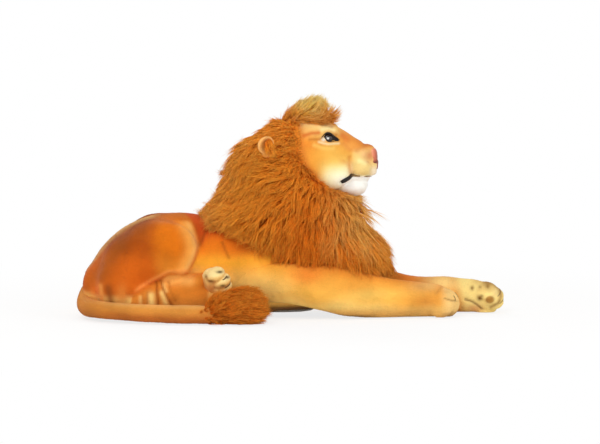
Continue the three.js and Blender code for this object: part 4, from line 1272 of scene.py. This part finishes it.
def make_hind_paw(name):
    matrix = hind_paw_matrix(name)
    paw = grid_melt(f"hind_paw_{name}_hide", paw_shapes(HIND_PAW, matrix), 1.3)
    relax(paw, 5)
    co, no = points_of(paw), normals_of(paw)
    # Painted light: the cream is paler where the paw faces up
    top = step(-0.2, 0.6, no[:, 2] + lump(co, 16, 31, 0.2))
    rgb = mix(colour(246, 202, 120), colour(252, 226, 158), top)
    facing = step(20, 40, SIGN[name] * co[:, 1] - 40)
    set_tint(paw, lay(rgb, co, HIND_MARKS, facing=facing))
    finish_piece(paw, "torso", PILE, "paw_pile", f"hind_paw_{name}")
    nap(f"hind_paw_{name}_nap", paw, 4000, "torso", reach=1.6)
    lines = toe_lines(f"toe_lines_hind_{name}", paw, HIND_PAW, matrix, (-0.3, 0.1))
    finish_piece(lines, "torso", TOE_THREAD, "black_thread", *stitches("hind", name))


# Tail

# Ahead and sideways of the rump as shares of the torso's length and width, and how far along
# the taper is
TAIL_ROWS = [
    (0.0, 0.0, 0.0), (-0.029, -0.12, 0.05), (-0.031, -0.33, 0.12), (0.012, -0.58, 0.23),
    (0.09, -0.72, 0.36), (0.2, -0.82, 0.52), (0.36, -0.87, 0.72), (0.51, -0.86, 0.88),
    (0.61, -0.84, 1.0),
]
TAIL_ROOT_X = -168.48
TUFT = {"length": 84, "width": 54, "height": 52}
TUFT_ROWS = [
    (-0.06, 0.24, 0.0, 0.0), (0.04, 0.25, 0.19, 0.19), (0.22, 0.34, 0.29, 0.3),
    (0.5, 0.42, 0.36, 0.37), (0.7, 0.44, 0.34, 0.36), (0.86, 0.42, 0.22, 0.26),
    (0.92, 0.4, 0.0, 0.0),
]


def tail_line():
    rows = []
    for ahead, sideways, taper in TAIL_ROWS:
        radius = 17 - 5.5 * taper
        level = 34 + (radius - 34) * min(1, taper / 0.12)
        x = TAIL_ROOT_X + ahead * TORSO["length"]
        rows.append([x, sideways * TORSO["width"], level, radius])
    return through(rows, 90)


def make_tail():
    rows = tail_line()
    share = np.linspace(0, 1, len(rows))
    line, radius = rows[:, :3], rows[:, 3]
    radius = radius * (1 - 0.22 * step(0.03, 0.14, share) * step(0.8, 0.5, share))
    along = unit(np.gradient(line, axis=0))
    side = unit(np.cross(along, [0, 0, 1.0]))
    rings = rings_round(line, side, np.cross(side, along), radius, radius, 32)
    tail = grid_melt("tail_hide", [rings_mesh(rings), egg(line[0], (17, 15, 15))], 1.9)
    relax(tail, 5)
    co, no = points_of(tail), normals_of(tail)
    co += no * lump(co, 30, 41, 0.7)[:, None]
    set_points(tail, co)
    settle(tail)
    # Painted light and shade: darker on the underside, paler on top, and a painted highlight where it
    # faces straight up
    top = step(-0.5, 0.5, no[:, 2] + lump(co, 30, 42, 0.2))
    rgb = mix(colour(196, 112, 44), colour(222, 147, 62), top)
    set_tint(tail, lay(rgb, co, [
        ((242, 186, 108), 0.55 * step(0.5, 1.0, no[:, 2])),
        ((200, 124, 48), 0.7 * step(-120, -175, co[:, 0])),
    ]))
    finish_piece(tail, "tail", PILE, "leg_pile", "tail")
    nap("tail_nap", tail, 16000, "tail")

    start = (TAIL_ROOT_X + 0.432 * TORSO["length"], -0.84 * TORSO["width"], 0)
    core = grid_melt("tuft_core", [swell(along_x(start, TUFT, TUFT_ROWS), 32, 36)], 3.0)
    place, out = roots_on(core, 11000)
    flow = unit(np.array([1.0, 0.0, 0.12]) + 0.2 * out)
    length = 21 + 6 * rng.random(len(place)) - 9 * step(40, 90, place[:, 0] - start[0])
    long_pile(locks(
        "tail_tuft_hair", place, out, flow, length, 620, lift=0.45, droop=0.1, gather=0.55,
        curl=4, tint=tuft_tint, floor=0, wander=0.7,
    ), "tail", "tail_tuft")
    plain_tint(core, 206, 116, 36)
    finish_piece(core, "tail", PILE, "long_pile")


def three_tones(share, *pairs):
    """Colours of root, middle and tip, each from its first to its second by share."""
    return [mix(colour(*first), colour(*second), share) for first, second in pairs]


def tuft_tint(place):
    """Darker towards the floor: painted shade where the tuft lies on it."""
    root, tip = (206, 108, 24), (244, 158, 52)
    low = step(20, 0, place[:, 2])
    return three_tones(low, (root, root), ((226, 120, 24), (206, 102, 18)), (tip, tip))


# The head's hide, with the muzzle and the chin

HEAD = {"length": 135, "width": 101, "height": 110}
HEAD_START = (87.85, 0, 221)
HEAD_ROWS = [
    (0.0, 0.01, 0.0, 0.0), (0.044, 0.01, 0.26, 0.26), (0.133, 0.01, 0.42, 0.4),
    (0.267, 0.01, 0.495, 0.49), (0.415, 0.0, 0.5, 0.5), (0.533, 0.0, 0.45, 0.464),
    (0.622, -0.018, 0.38, 0.418), (0.711, -0.045, 0.31, 0.382), (0.8, -0.073, 0.25, 0.336),
    (0.89, -0.09, 0.19, 0.28), (0.963, -0.1, 0.11, 0.16), (1.0, -0.1, 0.0, 0.0),
]
MUZZLE = {"length": 52, "width": 56, "height": 44}
MUZZLE_START = (177.35, 0, 215.5)
MUZZLE_ROWS = [
    (0.0, -0.05, 0.0, 0.0), (0.1, -0.05, 0.38, 0.3), (0.3, -0.01, 0.49, 0.44),
    (0.52, 0.04, 0.42, 0.51), (0.72, 0.06, 0.235, 0.505), (0.86, 0.03, 0.19, 0.47),
    (0.95, -0.01, 0.13, 0.34), (0.985, -0.03, 0.0, 0.0),
]
CHIN = {"length": 60, "width": 46, "height": 29}
CHIN_START = (155.5, 0, 181.5)
CHIN_ROWS = [
    (0.0, 0.12, 0.0, 0.0), (0.13, 0.08, 0.36, 0.3), (0.33, 0.02, 0.5, 0.44),
    (0.56, 0.0, 0.5, 0.5), (0.76, 0.0, 0.44, 0.48), (0.91, 0.04, 0.3, 0.36),
    (1.0, 0.06, 0.0, 0.0),
]
# Whisker pad, its front, cheek and brow, on both sides: centre and radii
FACE_EGGS = [
    ((202, 13.5, 207.5), (18.5, 15, 13.8)),
    ((216.2, 6.4, 203.4), (11.6, 9.2, 9.4)),
    ((158, 27, 204), (33, 20, 27)),
    ((159, 22, 260), (15, 13, 9)),
]
# Routes on the face in side view
MOUTH = [
    (177, 189.8), (181, 192.0), (187, 195.2), (193.0, 197.8), (202, 196.6), (213.5, 195.6),
    (224, 195.8),
]
EYE_AT = (159.6, 252.2)
LID = [
    (153.0, 253.6), (156.3, 257.6), (160.6, 259.0), (165.2, 255.8), (169.8, 251.6),
    (174.2, 248.4), (171.8, 247.2), (166.8, 248.2), (161.9, 246.8), (157.7, 247.4),
    (155.6, 250.0),
]
UPPER_LID = [
    (148.0, 250.2), (151.0, 253.9), (154.6, 257.9), (158.8, 259.6), (163.2, 258.3),
    (167.4, 254.4), (171.6, 250.2), (175.2, 247.4),
]
LOWER_LID = [(158.0, 246.8), (163.0, 246.4), (169.0, 247.0), (174.0, 246.8)]
FACE_GROOVES = [
    (2.6, MOUTH[:5], 1.9, "corner"),
    (0.9, MOUTH[4:], 1.5),
    (1.8, [(190.5, 224), (191.5, 212), (193, 200)], 2.4, "side"),
    (0.7, [(125, 256.3), (138, 259), (148, 259.4)], 2.6, "side"),
    (0.6, [(136, 250), (147, 250)], 2.0, "side"),
    (2.2, [(171, 250), (183, 246), (192, 238)], 5.0, "side"),
    (1.6, EYE_AT, (12, 7.5), "side"),
]
FACE_RIDGES = [
    (1.1, [(143, 254), (151, 261.5), (161, 264.5), (170, 258), (177, 250)], 3.2, "side"),
    (0.6, [(146, 246), (157, 241.5), (168, 241.5)], 2.8, "side"),
]
# Brows, creases, the crease before the whisker pad, and the eye's surround
EYE_MARKS = [
    ((250, 214, 140), 0.7, [(124, 272), (140, 270), (152, 267)], 5.0, "side"),
    ((255, 236, 170), 0.8, [(150, 264), (160, 266), (168, 263)], 3.2, "side"),
    ((244, 206, 120), 0.7, [(170, 266), (174, 258)], 3.2, "side"),
    ((150, 104, 50), 0.5, [(150, 269.5), (158, 268.5), (164, 267)], 1.8, "side"),
    ((210, 100, 36), 0.75, [(125, 255.6), (136, 259.0), (146, 259.4)], 2.8, "side"),
    ((182, 104, 40), 0.6, [(133, 250.8), (147, 250.8)], 2.0, "side"),
    ((240, 130, 48), 0.5, (142, 243), (14, 5), "side"),
    ((218, 138, 58), 0.65, [(189, 224), (189, 212), (191, 201)], 3.6, "side"),
    ((244, 238, 214), 0.95, (152.8, 250.4), (3.2, 2.8), "side"),
    (
        (255, 236, 184), 0.7,
        [(146, 247.2), (153, 245.0), (160, 243.8), (168, 244.0), (174, 243.8)], 1.5, "side",
    ),
    ((168, 112, 54), 0.35, [(148, 243), (156, 240.6), (164, 240)], 1.5, "side"),
    ((255, 204, 104), 0.7, [(140, 243), (152, 239), (166, 238)], 3.2, "side"),
]


def make_face():
    shapes = [
        swell(along_x(HEAD_START, HEAD, HEAD_ROWS), 56, 80),
        swell(along_x(MUZZLE_START, MUZZLE, MUZZLE_ROWS), 44, 44),
        swell(along_x(CHIN_START, CHIN, CHIN_ROWS), 40, 40),
    ]
    for sign in (1, -1):
        shapes += [egg((x, sign * y, z), radii) for (x, y, z), radii in FACE_EGGS]
    face = grid_melt("face_hide", shapes, 1.5)
    relax(face, 7)
    co, no = points_of(face), normals_of(face)
    side = step(10, 22, np.abs(co[:, 1]))
    groove = depth_of(co, FACE_GROOVES, side=side, corner=step(168, 178, co[:, 0]))
    split = np.exp(-((co[:, 1] / 1.6) ** 2)) * step(214, 222, co[:, 0])
    split = split * step(208, 203, co[:, 2]) * step(190, 196, co[:, 2])
    co -= no * (groove + 1.4 * split[:, None])
    co += no * depth_of(co, FACE_RIDGES, side=side)
    set_points(face, co)
    relax(face, 1)
    paint_face(face)
    finish_piece(face, "head", FACE_PILE, "face_pile", "head_skin", "muzzle", "chin")

    def bare(place, out):
        """Nothing in the mane, over the eyes, the mouth and the nose."""
        at_eye = near(place, EYE_AT, (17, 10)) * (np.abs(place[:, 1]) > 14)
        ahead = place[:, 0] > hairline(place[:, 2]) - 6
        free = (at_eye < 0.42) & (stroke(place, MOUTH, 3.4) < 0.4) & ahead
        return free * (near(place, (223, 221), (9, 17)) < 0.5)

    nap("face_nap", face, 60000, "head", 1.1, FACE_PILE, bare)
    return face


def paint_face(face):
    co, no = points_of(face), normals_of(face)
    x, y, z = co.T
    wave = lump(co, 22, 51)
    gap = np.abs(x - hairline(z))
    slope = z - (x - 176) * 0.2 + 2 * wave
    top = step(0.25, 0.8, no[:, 2]) * step(170, 186, x)
    tip = step(196, 214, x) * step(0.35, 0.9, no[:, 2])
    pad = step(190, 197, x) * step(238, 226, z - (x - 195) * 0.1) * step(195.5, 197.5, z)
    pad = pad * step(0.98, 0.6, np.abs(no[:, 2]))
    front = step(214, 224, x) * step(214, 202, z) * step(194, 197, z)
    chin = step(197.5, 195.5, z) * step(174, 184, x)
    rgb = mix(colour(232, 152, 54), colour(246, 198, 114), step(244, 268, z + 5 * wave))
    set_tint(face, lay(rgb, co, [
        # Cheek, the shade beside the mane, and the pale jaw
        ((246, 150, 56), 0.6 * step(146, 116, x + 6 * wave)),
        ((252, 196, 92), 0.75, (166, 227), (23, 19), "side"),
        ((246, 172, 70), 0.5, (138, 214), (14, 14)),
        ((214, 128, 48), 0.75 * step(16, 4, gap) * step(140, 165, z)),
        ((255, 222, 122), 0.7 * step(232, 212, slope) * step(136, 158, x)),
        ((255, 250, 198), 0.95 * step(222, 200, slope) * step(142, 164, x)),
        ((255, 253, 232), 0.85, (177, 190), (15, 13)),
        # Bridge of the nose and forehead
        ((222, 136, 62), 0.7 * top),
        ((216, 112, 52), 0.8, [(166, 267), (176, 260), (186, 250)], 6.5, "side"),
        ((236, 160, 84), 0.6, (196, 240), (14, 8), "side"),
        ((186, 108, 56), 0.65 * tip),
        # Whisker pads
        ((240, 204, 126), 0.9 * pad),
        ((255, 240, 170), 0.8, [(203, 219), (211, 216)], 3.6, "side"),
        ((238, 224, 204), 0.75 * front),
        # A painted highlight on the nose's wing, and painted shade in the fold above it
        ((250, 196, 138), 0.7, (211, 228), (7, 6), "side"),
        ((206, 126, 66), 0.5, [(199, 233), (205, 236.5), (213, 236)], 3.0, "side"),
        ((198, 116, 76), 0.8, (218, 225), (7, 9)),
        # Chin, with painted shade on its underside
        ((254, 254, 250), 0.95 * chin),
        ((240, 222, 206), 0.5 * chin * step(-0.1, -0.9, no[:, 2])),
        *EYE_MARKS,
    ], side=step(8, 20, np.abs(y))))


def patch(tree, outline, sign, thickness, rings=5):
    """A thin closed pad that lies on a surface, over a side-view outline in X and Z."""
    outline = through([*outline, outline[0]], 6 * len(outline) + 1)[:-1]
    middle = outline.mean(0)
    tops, lows = [], []
    for share in np.linspace(0, 1, rings + 1)[1:]:
        rise = thickness * math.sqrt(max(0, 1 - share**4))
        hits = [side_hit(tree, x, z, sign) for x, z in middle + (outline - middle) * share]
        tops.append([np.array(at + out * (rise + 0.15)) for at, out in hits])
        lows.append([np.array(at - out * 0.9) for at, out in hits])
    return rings_mesh(np.array(tops + lows[::-1]))


def side_line(tree, route, sign, lift):
    """A side-view route laid on a surface from one side."""
    hits = [side_hit(tree, x, z, sign) for x, z in route]
    return [np.array(at + out * lift) for at, out in hits]


# Half thickness of the lids' edges, and of the mouth from its corner to the front
UPPER_LID_HALF = [0.3, 0.6, 1.0, 1.3, 1.2, 0.8, 0.8, 0.4]
LOWER_LID_HALF = [0.25, 0.35, 0.45, 0.6]
MOUTH_HALF = [2.4, 4.0, 3.5, 2.1, 0.65, 0.45, 0.9, 0.45, 0.4]
MOUTH_LEVEL = 195.8
# The nose, from its top down: height, middle ahead, half length and half width
NOSE_ROWS = [
    (236.0, 220.6, 0.0, 0.0), (234.4, 220.9, 4.2, 6.0), (230.4, 221.8, 6.0, 9.6),
    (224.0, 222.9, 5.9, 10.8), (217.5, 224.0, 4.9, 9.0), (211.5, 224.7, 3.7, 6.4),
    (206.0, 224.8, 2.9, 3.6), (203.0, 224.4, 0.0, 0.0),
]


def make_eye(tree, name):
    sign = SIGN[name]
    at, out = side_hit(tree, *EYE_AT, sign)
    out = (out + Vector((0.1, sign * 0.5, 0.0))).normalized()
    turn = out.to_track_quat("X", "Z").to_matrix().to_4x4()
    ball = egg(at - out * 2.4, (5.6, 6.6, 6.4), turn, 40)
    eye = new_object(f"eye_ball_{name}", *ball)
    co = points_of(eye)
    local = (co - np.array(at)) @ np.array(turn.to_3x3())
    radius = np.hypot(local[:, 1] * 0.9, local[:, 2])
    rgb = mix(colour(6, 4, 3), colour(52, 26, 10), step(1.8, 2.8, radius))
    rgb = mix(rgb, colour(8, 6, 4), step(3.4, 4.4, radius))
    # A painted glint: a pale spot on the ball in place of a reflection
    glint = near(co, (EYE_AT[0] - 0.8, EYE_AT[1] - 0.6), (1.9, 1.7))
    glint = step(0.25, 0.7, glint) * (sign * co[:, 1] > 0)
    set_tint(eye, mix(rgb, colour(224, 222, 216), glint))
    finish_piece(eye, "head", EYE, "eye_plastic", f"eye_{name}")

    lid = new_object(f"eyelid_{name}", *join_shapes([
        patch(tree, LID, sign, 0.5),
        tube(side_line(tree, UPPER_LID, sign, 1.3), UPPER_LID_HALF),
        tube(side_line(tree, LOWER_LID, sign, 0.6), LOWER_LID_HALF),
    ]))
    finish_piece(lid, "head", FELT, "dark_felt", f"eye_liner_{name}")


def make_mouth(tree):
    left, right = [side_line(tree, MOUTH[:-1], sign, 0.9) for sign in (1, -1)]
    middle = []
    for y in np.linspace(14, -14, 7):
        hit, normal, _, _ = tree.ray_cast(Vector((260, y, MOUTH_LEVEL)), Vector((-1, 0, 0)))
        middle.append(np.array(hit + normal * 0.2))
    radius = [*MOUTH_HALF, 0.5, *MOUTH_HALF[::-1]]
    lips = new_object("mouth_line", *tube(left + middle + right[::-1], radius, ends=0.8))
    ahead = step(190, 197, points_of(lips)[:, 0])
    set_tint(lips, mix(colour(26, 20, 16), colour(150, 118, 74), ahead))
    finish_piece(lips, "head", THREAD, "black_thread", "mouth_cord")


def make_nose():
    tip = new_object("nose_pad", *upright(NOSE_ROWS, 40, 36))
    split_finer(tip, 1)
    co, no = points_of(tip), normals_of(tip)
    nostrils = [near(co, (227.0, y, 216.6), (6.5, 3.2, 2.5)) for y in (8.2, -8.2)]
    dent = np.maximum(*nostrils)
    split = np.exp(-(co[:, 1] ** 2)) * step(219, 215, co[:, 2]) * step(222, 225, co[:, 0])
    co -= no * (3.4 * dent + 1.2 * split)[:, None]
    set_points(tip, co)
    top = step(0.3, 0.9, no[:, 2] + lump(co, 9, 61, 0.3))
    rgb = mix(colour(238, 158, 118), colour(216, 132, 90), top)
    set_tint(tip, lay(rgb, co, [
        ((196, 92, 64), 0.8 * step(220, 225, co[:, 0])),
        ((152, 64, 46), 0.8 * step(224.5, 228.5, co[:, 0])),
        # Painted shade in the nostrils and the split between them
        ((104, 46, 34), np.maximum(dent, 0.7 * split)),
    ]))
    finish_piece(tip, "head", NOSE, "nose_cloth", "nose")


# Mane: under-forms with hair on them

MANE = {"bottom": 46, "height": 233, "length": 250, "width": 182}
TURN_X = 100
TURN_LEVEL = 150
MANE_INSET = 18
FACE_MIDDLE = (163, 0, 222)
# Share of the height, middle ahead, half length and half width
MANE_ROWS = [
    (0.0, 0.42, 0.0, 0.0), (0.03, 0.32, 0.26, 0.17), (0.09, 0.27, 0.37, 0.27),
    (0.16, 0.19, 0.43, 0.36), (0.23, 0.11, 0.47, 0.42), (0.31, 0.03, 0.49, 0.462),
    (0.39, -0.018, 0.494, 0.488), (0.45, -0.014, 0.476, 0.495), (0.54, -0.01, 0.42, 0.484),
    (0.645, -0.04, 0.346, 0.456), (0.755, -0.066, 0.27, 0.412), (0.83, -0.058, 0.222, 0.374),
    (0.905, -0.03, 0.166, 0.3), (0.965, -0.012, 0.108, 0.19), (1.0, -0.005, 0.0, 0.0),
]
HEM_ROWS = [
    (-0.8, 0.52), (-0.51, 0.438), (-0.4, 0.365), (-0.235, 0.295), (-0.14, 0.21), (-0.035, 0.172),
]
HAIRLINE_ROWS = [
    (0.045, 1.2), (0.05, 0.955), (0.064, 0.815), (0.088, 0.72), (0.16, 0.64), (0.24, 0.567),
    (0.33, 0.524), (0.415, 0.5), (0.56, 0.482), (0.8, 0.482),
]


def mane_rows(inset):
    rows = []
    for rise, ahead, long, wide in MANE_ROWS:
        front = inset - 8 * step(0.4, 0.55, rise)
        rows.append([
            MANE["bottom"] + rise * MANE["height"] - (inset if rise > 0.99 else 0),
            TURN_X + ahead * MANE["length"] + (inset - front) / 2,
            max(long * MANE["length"] - (inset + front) / 2, 0),
            max(wide * MANE["width"] - inset + 4, 0),
        ])
    return rows


def mane_places(rows):
    """X and height, in mm, of rows of shares ahead and up."""
    return [
        (TURN_X + ahead * MANE["length"], MANE["bottom"] + up * MANE["height"])
        for ahead, up in rows
    ]


def hairline(z):
    """How far ahead the mane starts beside the face, at a height."""
    heights, places = np.array(sorted((up, ahead) for ahead, up in mane_places(HAIRLINE_ROWS))).T
    return np.interp(z, heights, places)


def hem(x):
    """How low the mane's under-form reaches, at a place along the animal."""
    points = mane_places(HEM_ROWS) + [
        (SHOULDER_X + along * REACH["left"], (z + h) * FORELEG["height"] + 2.4)
        for along, _, _, z, h in FORELEG_ROWS
    ]
    return np.interp(x, *np.array(points).T)


def make_core(name, body):
    """The under-form of the crown, above the level where the head turns, or of the collar."""
    points, faces = upright(mane_rows(MANE_INSET), 72, 90)
    x, _, z = points.T
    if name == "crown":
        points[:, 2] = np.maximum(z, TURN_LEVEL + 1)
        points[:, 0] = np.minimum(x, hairline(np.maximum(z, TURN_LEVEL)) - 1)
    else:
        points[:, 2] = np.maximum(np.minimum(z, TURN_LEVEL - 1), hem(x) + 3)
    core = grid_melt(f"{name}_core", [(points, faces)], 2.6)
    relax(core, 4)
    root, middle, _ = mane_tint(points_of(core))
    set_tint(core, mix(root, middle, 0.3))
    finish_piece(core, body, PILE, "long_pile", f"mane_{name}")
    return core


def mane_length(place, ears):
    x, _, z = place.T
    edge = np.abs(x - hairline(z))
    length = 34 + 8 * step(200, 120, z)
    length = length * (0.5 + 0.5 * step(4, 34, edge))
    length = length * (1 - 0.5 * step(246, 268, z)) * (1 - 0.5 * step(30, -10, x) * step(200, 165, z))
    length = length * (1 + 0.14 * step(150, 190, x) * step(190, 150, z))
    over_flank = step(20, 34, x) * step(84, 68, x) * step(34, 16, z - hem(x))
    length = length * (1 - 0.35 * over_flank)
    for ear in ears:
        ahead = x - ear.x
        before = step(-4, 4, ahead) * step(26, 14, np.abs(z - ear.z))
        before = before * step(48, 60, np.abs(place[:, 1]))
        short = np.minimum(length, np.maximum(ahead + 9, 12))
        length = np.where(before > 0.5, short, length)
    return length


def make_mane():
    crown = make_core("crown", "head")
    collar = make_core("collar", "torso")
    ears = [ear_matrix(name) @ Vector((0, 0, 20)) for name in SIGN]

    def on_crown(place, out):
        """1 where hair grows, 0 round an ear and underneath."""
        free = np.ones(len(place))
        for ear in ears:
            gap = np.linalg.norm((place - np.array(ear) + (3, 0, 0)) / (11, 40, 13), axis=1)
            free *= step(0.75, 1.0, gap)
        return free * step(-0.95, -0.8, out[:, 2])

    def on_collar(place, out):
        return step(-0.95, -0.8, out[:, 2]) * step(0.97, 0.85, out[:, 2])

    for name, core, count, clumps, wanted, body in (
        ("crown", crown, 28000, 2000, on_crown, "head"),
        ("collar", collar, 35000, 2200, on_collar, "torso"),
    ):
        place, out = roots_on(core, count, wanted)
        long_pile(locks(
            f"{name}_hair", place, out, mane_flow(place), mane_length(place, ears), clumps,
            lift=0.5, droop=0.16, gather=0.58, curl=6, tint=mane_tint, floor=0, wander=0.75,
        ), body, f"mane_{name}")


def make_face_edge(face):
    """Short hair on the head's hide, which hides the line where the mane starts."""
    def edge(place, out):
        gap = place[:, 0] - hairline(place[:, 2])
        return step(-12, -6, gap) * step(9, 3, gap) * (place[:, 2] > TURN_LEVEL + 4)

    place, out = roots_on(face, 60000, edge)
    length = 15 + 6 * rng.random(len(place))
    long_pile(locks(
        "face_edge_hair", place, out, mane_flow(place), length, len(place) // 14, lift=0.5,
        droop=0.1, width=0.95, gather=0.5, curl=3, steps=4, tint=edge_tint, wander=0.5,
    ), "head")


def edge_tint(place):
    _, middle, tip = mane_tint(place)
    return mix(middle, colour(244, 160, 66), 0.5), middle, tip


def mane_flow(place):
    """Away from the face, and falling more towards the chest."""
    x, _, z = place.T
    fall = (0.3 + 0.3 * step(180, 110, z)) * (1 - 0.75 * step(70, 20, x))
    flow = unit(place - FACE_MIDDLE) + DOWN * fall[:, None]
    flow[:, 2] *= 1 - 0.55 * step(85, 25, x)
    flow[:, 0] += 0.5 * step(150, 200, x) * step(170, 120, z)
    return unit(flow)


def mane_tint(place):
    x, y, z = place.T
    mixed = lump(place, 40, 71, 1.0)
    red = np.clip(near(place, (150, 135), (60, 60)) + 0.25 * mixed, 0, 1)
    # Paler towards the back and along the middle: partly the mane's own blonder tone, partly painted
    # rim light on its outline
    back = step(60, 0, x) * 0.7 + 0.3 * step(60, 30, np.abs(y))
    root = mix(colour(222, 116, 24), colour(222, 126, 34), back)
    middle = mix(colour(252, 156, 42), colour(250, 134, 26), red)
    middle = mix(middle, colour(248, 164, 60), back)
    tip = mix(colour(250, 176, 68), colour(244, 148, 44), red)
    tip = mix(tip, colour(250, 190, 92), back)
    chest = step(136, 204, x) * step(212, 165, z) * step(100, 140, z)
    middle = mix(middle, colour(255, 198, 98), 0.8 * chest)
    tip = mix(tip, colour(255, 214, 132), 0.75 * chest)
    return root, middle, tip


FORELOCK = {"length": 72, "width": 60, "height": 40}
FORELOCK_START = (89, 0, 289)
FORELOCK_INSET = 8
FORELOCK_ROWS = [
    (0.0, -0.4, 0.0, 0.0), (0.11, -0.27, 0.33, 0.24), (0.33, -0.08, 0.45, 0.38),
    (0.55, 0.0, 0.5, 0.5), (0.74, 0.0, 0.47, 0.47), (0.89, -0.06, 0.36, 0.37),
    (0.975, -0.14, 0.2, 0.22), (1.0, -0.17, 0.0, 0.0),
]


def make_forelock():
    rows = [
        [x, y, z - 7.5, max(w - FORELOCK_INSET, 0), max(h - FORELOCK_INSET, 0)]
        for x, y, z, w, h in along_x(FORELOCK_START, FORELOCK, FORELOCK_ROWS)
    ]
    core = grid_melt("forelock_core", [swell(rows, 36, 40)], 2.4)
    place, out = roots_on(core, 7000)
    ahead = step(95, 165, place[:, 0])
    front = step(128, 150, place[:, 0])
    flow = unit(np.stack([
        0.95 - 0.45 * ahead - 0.2 * front,
        0.25 * out[:, 1],
        0.35 + 0.55 * ahead + 0.3 * front - 0.4 * step(0.1, -0.7, out[:, 2]) * (1 - front),
    ], 1))
    length = 21 + 3 * ahead - 4 * front * step(285, 272, place[:, 2])
    long_pile(locks(
        "forelock_hair", place, out, flow, length, 420, lift=0.5, droop=-0.1, gather=0.55,
        curl=3, tint=forelock_tint, wander=0.4,
    ), "head", "forelock")
    plain_tint(core, 206, 118, 36)
    finish_piece(core, "head", PILE, "long_pile")


def forelock_tint(place):
    """Darker towards the brow: painted shade under the forelock."""
    return three_tones(
        step(284, 274, place[:, 2]), ((236, 150, 50), (190, 96, 22)),
        ((255, 200, 88), (240, 152, 50)), ((255, 226, 146), (250, 186, 98)),
    )


# Ears

EAR = {"length": 38, "width": 33, "depth": 15}
EAR_ROOT = (76.02, 70.59, 231.24)


def ear_matrix(name):
    sign = SIGN[name]
    x, y, z = EAR_ROOT
    return (
        Matrix.Translation((x, sign * y, z))
        @ Matrix.Rotation(-math.radians(20), 4, "Y")
        @ Matrix.Rotation(-math.radians(24) * sign, 4, "X")
        @ Matrix.Rotation(math.radians(60) * sign, 4, "Z")
    )


def ear_shell(depth_share, inner, outer, reach):
    """A cupped flap in the ear's own frame: the cup opens to +X and the tip points to +Z."""
    cup = EAR["depth"] * depth_share
    wide = EAR["width"] / 2 * reach
    high = EAR["length"] * 0.42 * reach
    angle = np.linspace(0, TURN, 40, endpoint=False)
    shares = np.linspace(0.04, 1, 14)
    rows = []
    for face, order in ((-outer, shares), (inner, shares[::-1])):
        for share in order:
            bend = cup * (share**2.2) - cup * 0.45
            rows.append(np.stack([
                np.full(len(angle), bend + face * math.sqrt(max(0, 1 - share**8))),
                wide * share * np.cos(angle),
                EAR["length"] * 0.47 + high * share * np.sin(angle),
            ], 1))
    return rings_mesh(np.array(rows))


def make_ear(name):
    body = f"ear_{name}"
    sign = SIGN[name]
    matrix = ear_matrix(name)
    origin = np.array(matrix.translation)
    turn = np.array(matrix.to_3x3())
    shapes = [moved(ear_shell(0.5, 2.6, 3.6, 0.8), matrix), moved(egg((0, 0, 5), (7, 9, 7)), matrix)]
    ear = grid_melt(f"ear_{name}_hide", shapes, 0.9)
    relax(ear, 3)
    x, y, z = ((points_of(ear) - origin) @ turn).T
    rgb = mix(colour(228, 150, 66), colour(240, 178, 100), step(4, 14, z))
    rgb = mix(rgb, colour(232, 168, 84), step(8.5, 6, np.hypot(y, z - 17.9)) * (x > -1))
    set_tint(ear, rgb)
    finish_piece(ear, body, FACE_PILE, "ear_pile", f"ear_{name}")

    inset = Matrix.Translation((0.8, -4.2 * sign, 0.2))
    shell = moved(ear_shell(0.34, 3.3, -0.6, 0.4), matrix @ inset)
    lining = new_object(f"ear_{name}_lining", *shell)
    plain_tint(lining, 214, 132, 56)
    finish_piece(lining, body, FACE_PILE, "ear_pile", f"ear_lining_{name}")

    place, out = roots_on(lining, 700, lambda place, out: (out @ turn)[:, 0] > 0.2)
    flow = unit(np.tile([0.2, sign * 0.2, -1.0], (len(place), 1)))
    long_pile(locks(
        f"ear_{name}_hair", place, out, flow, np.full(len(place), 15.0), 40, lift=0.8,
        droop=0.2, width=0.9, gather=0.5, curl=2, tint=mane_tint, wander=0.4,
    ), body)


# Solids that are shown as they are, each with its material
SHOWN = {
    "torso_fill": FILL, "head_fill": FILL, "eye_washer_left": WASHER, "eye_washer_right": WASHER,
}

make_camera()
make_studio()
make_floor()
make_body()
for name in SIGN:
    make_foreleg(name)
    make_hind_paw(name)
make_tail()
face = make_face()
face_tree = tree_of(face)
for name in SIGN:
    make_eye(face_tree, name)
make_mouth(face_tree)
make_nose()
make_mane()
make_face_edge(face)
make_forelock()
for name in SIGN:
    make_ear(name)

for name, material in SHOWN.items():
    for held_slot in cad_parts[name].material_slots:
        held_slot.material = material
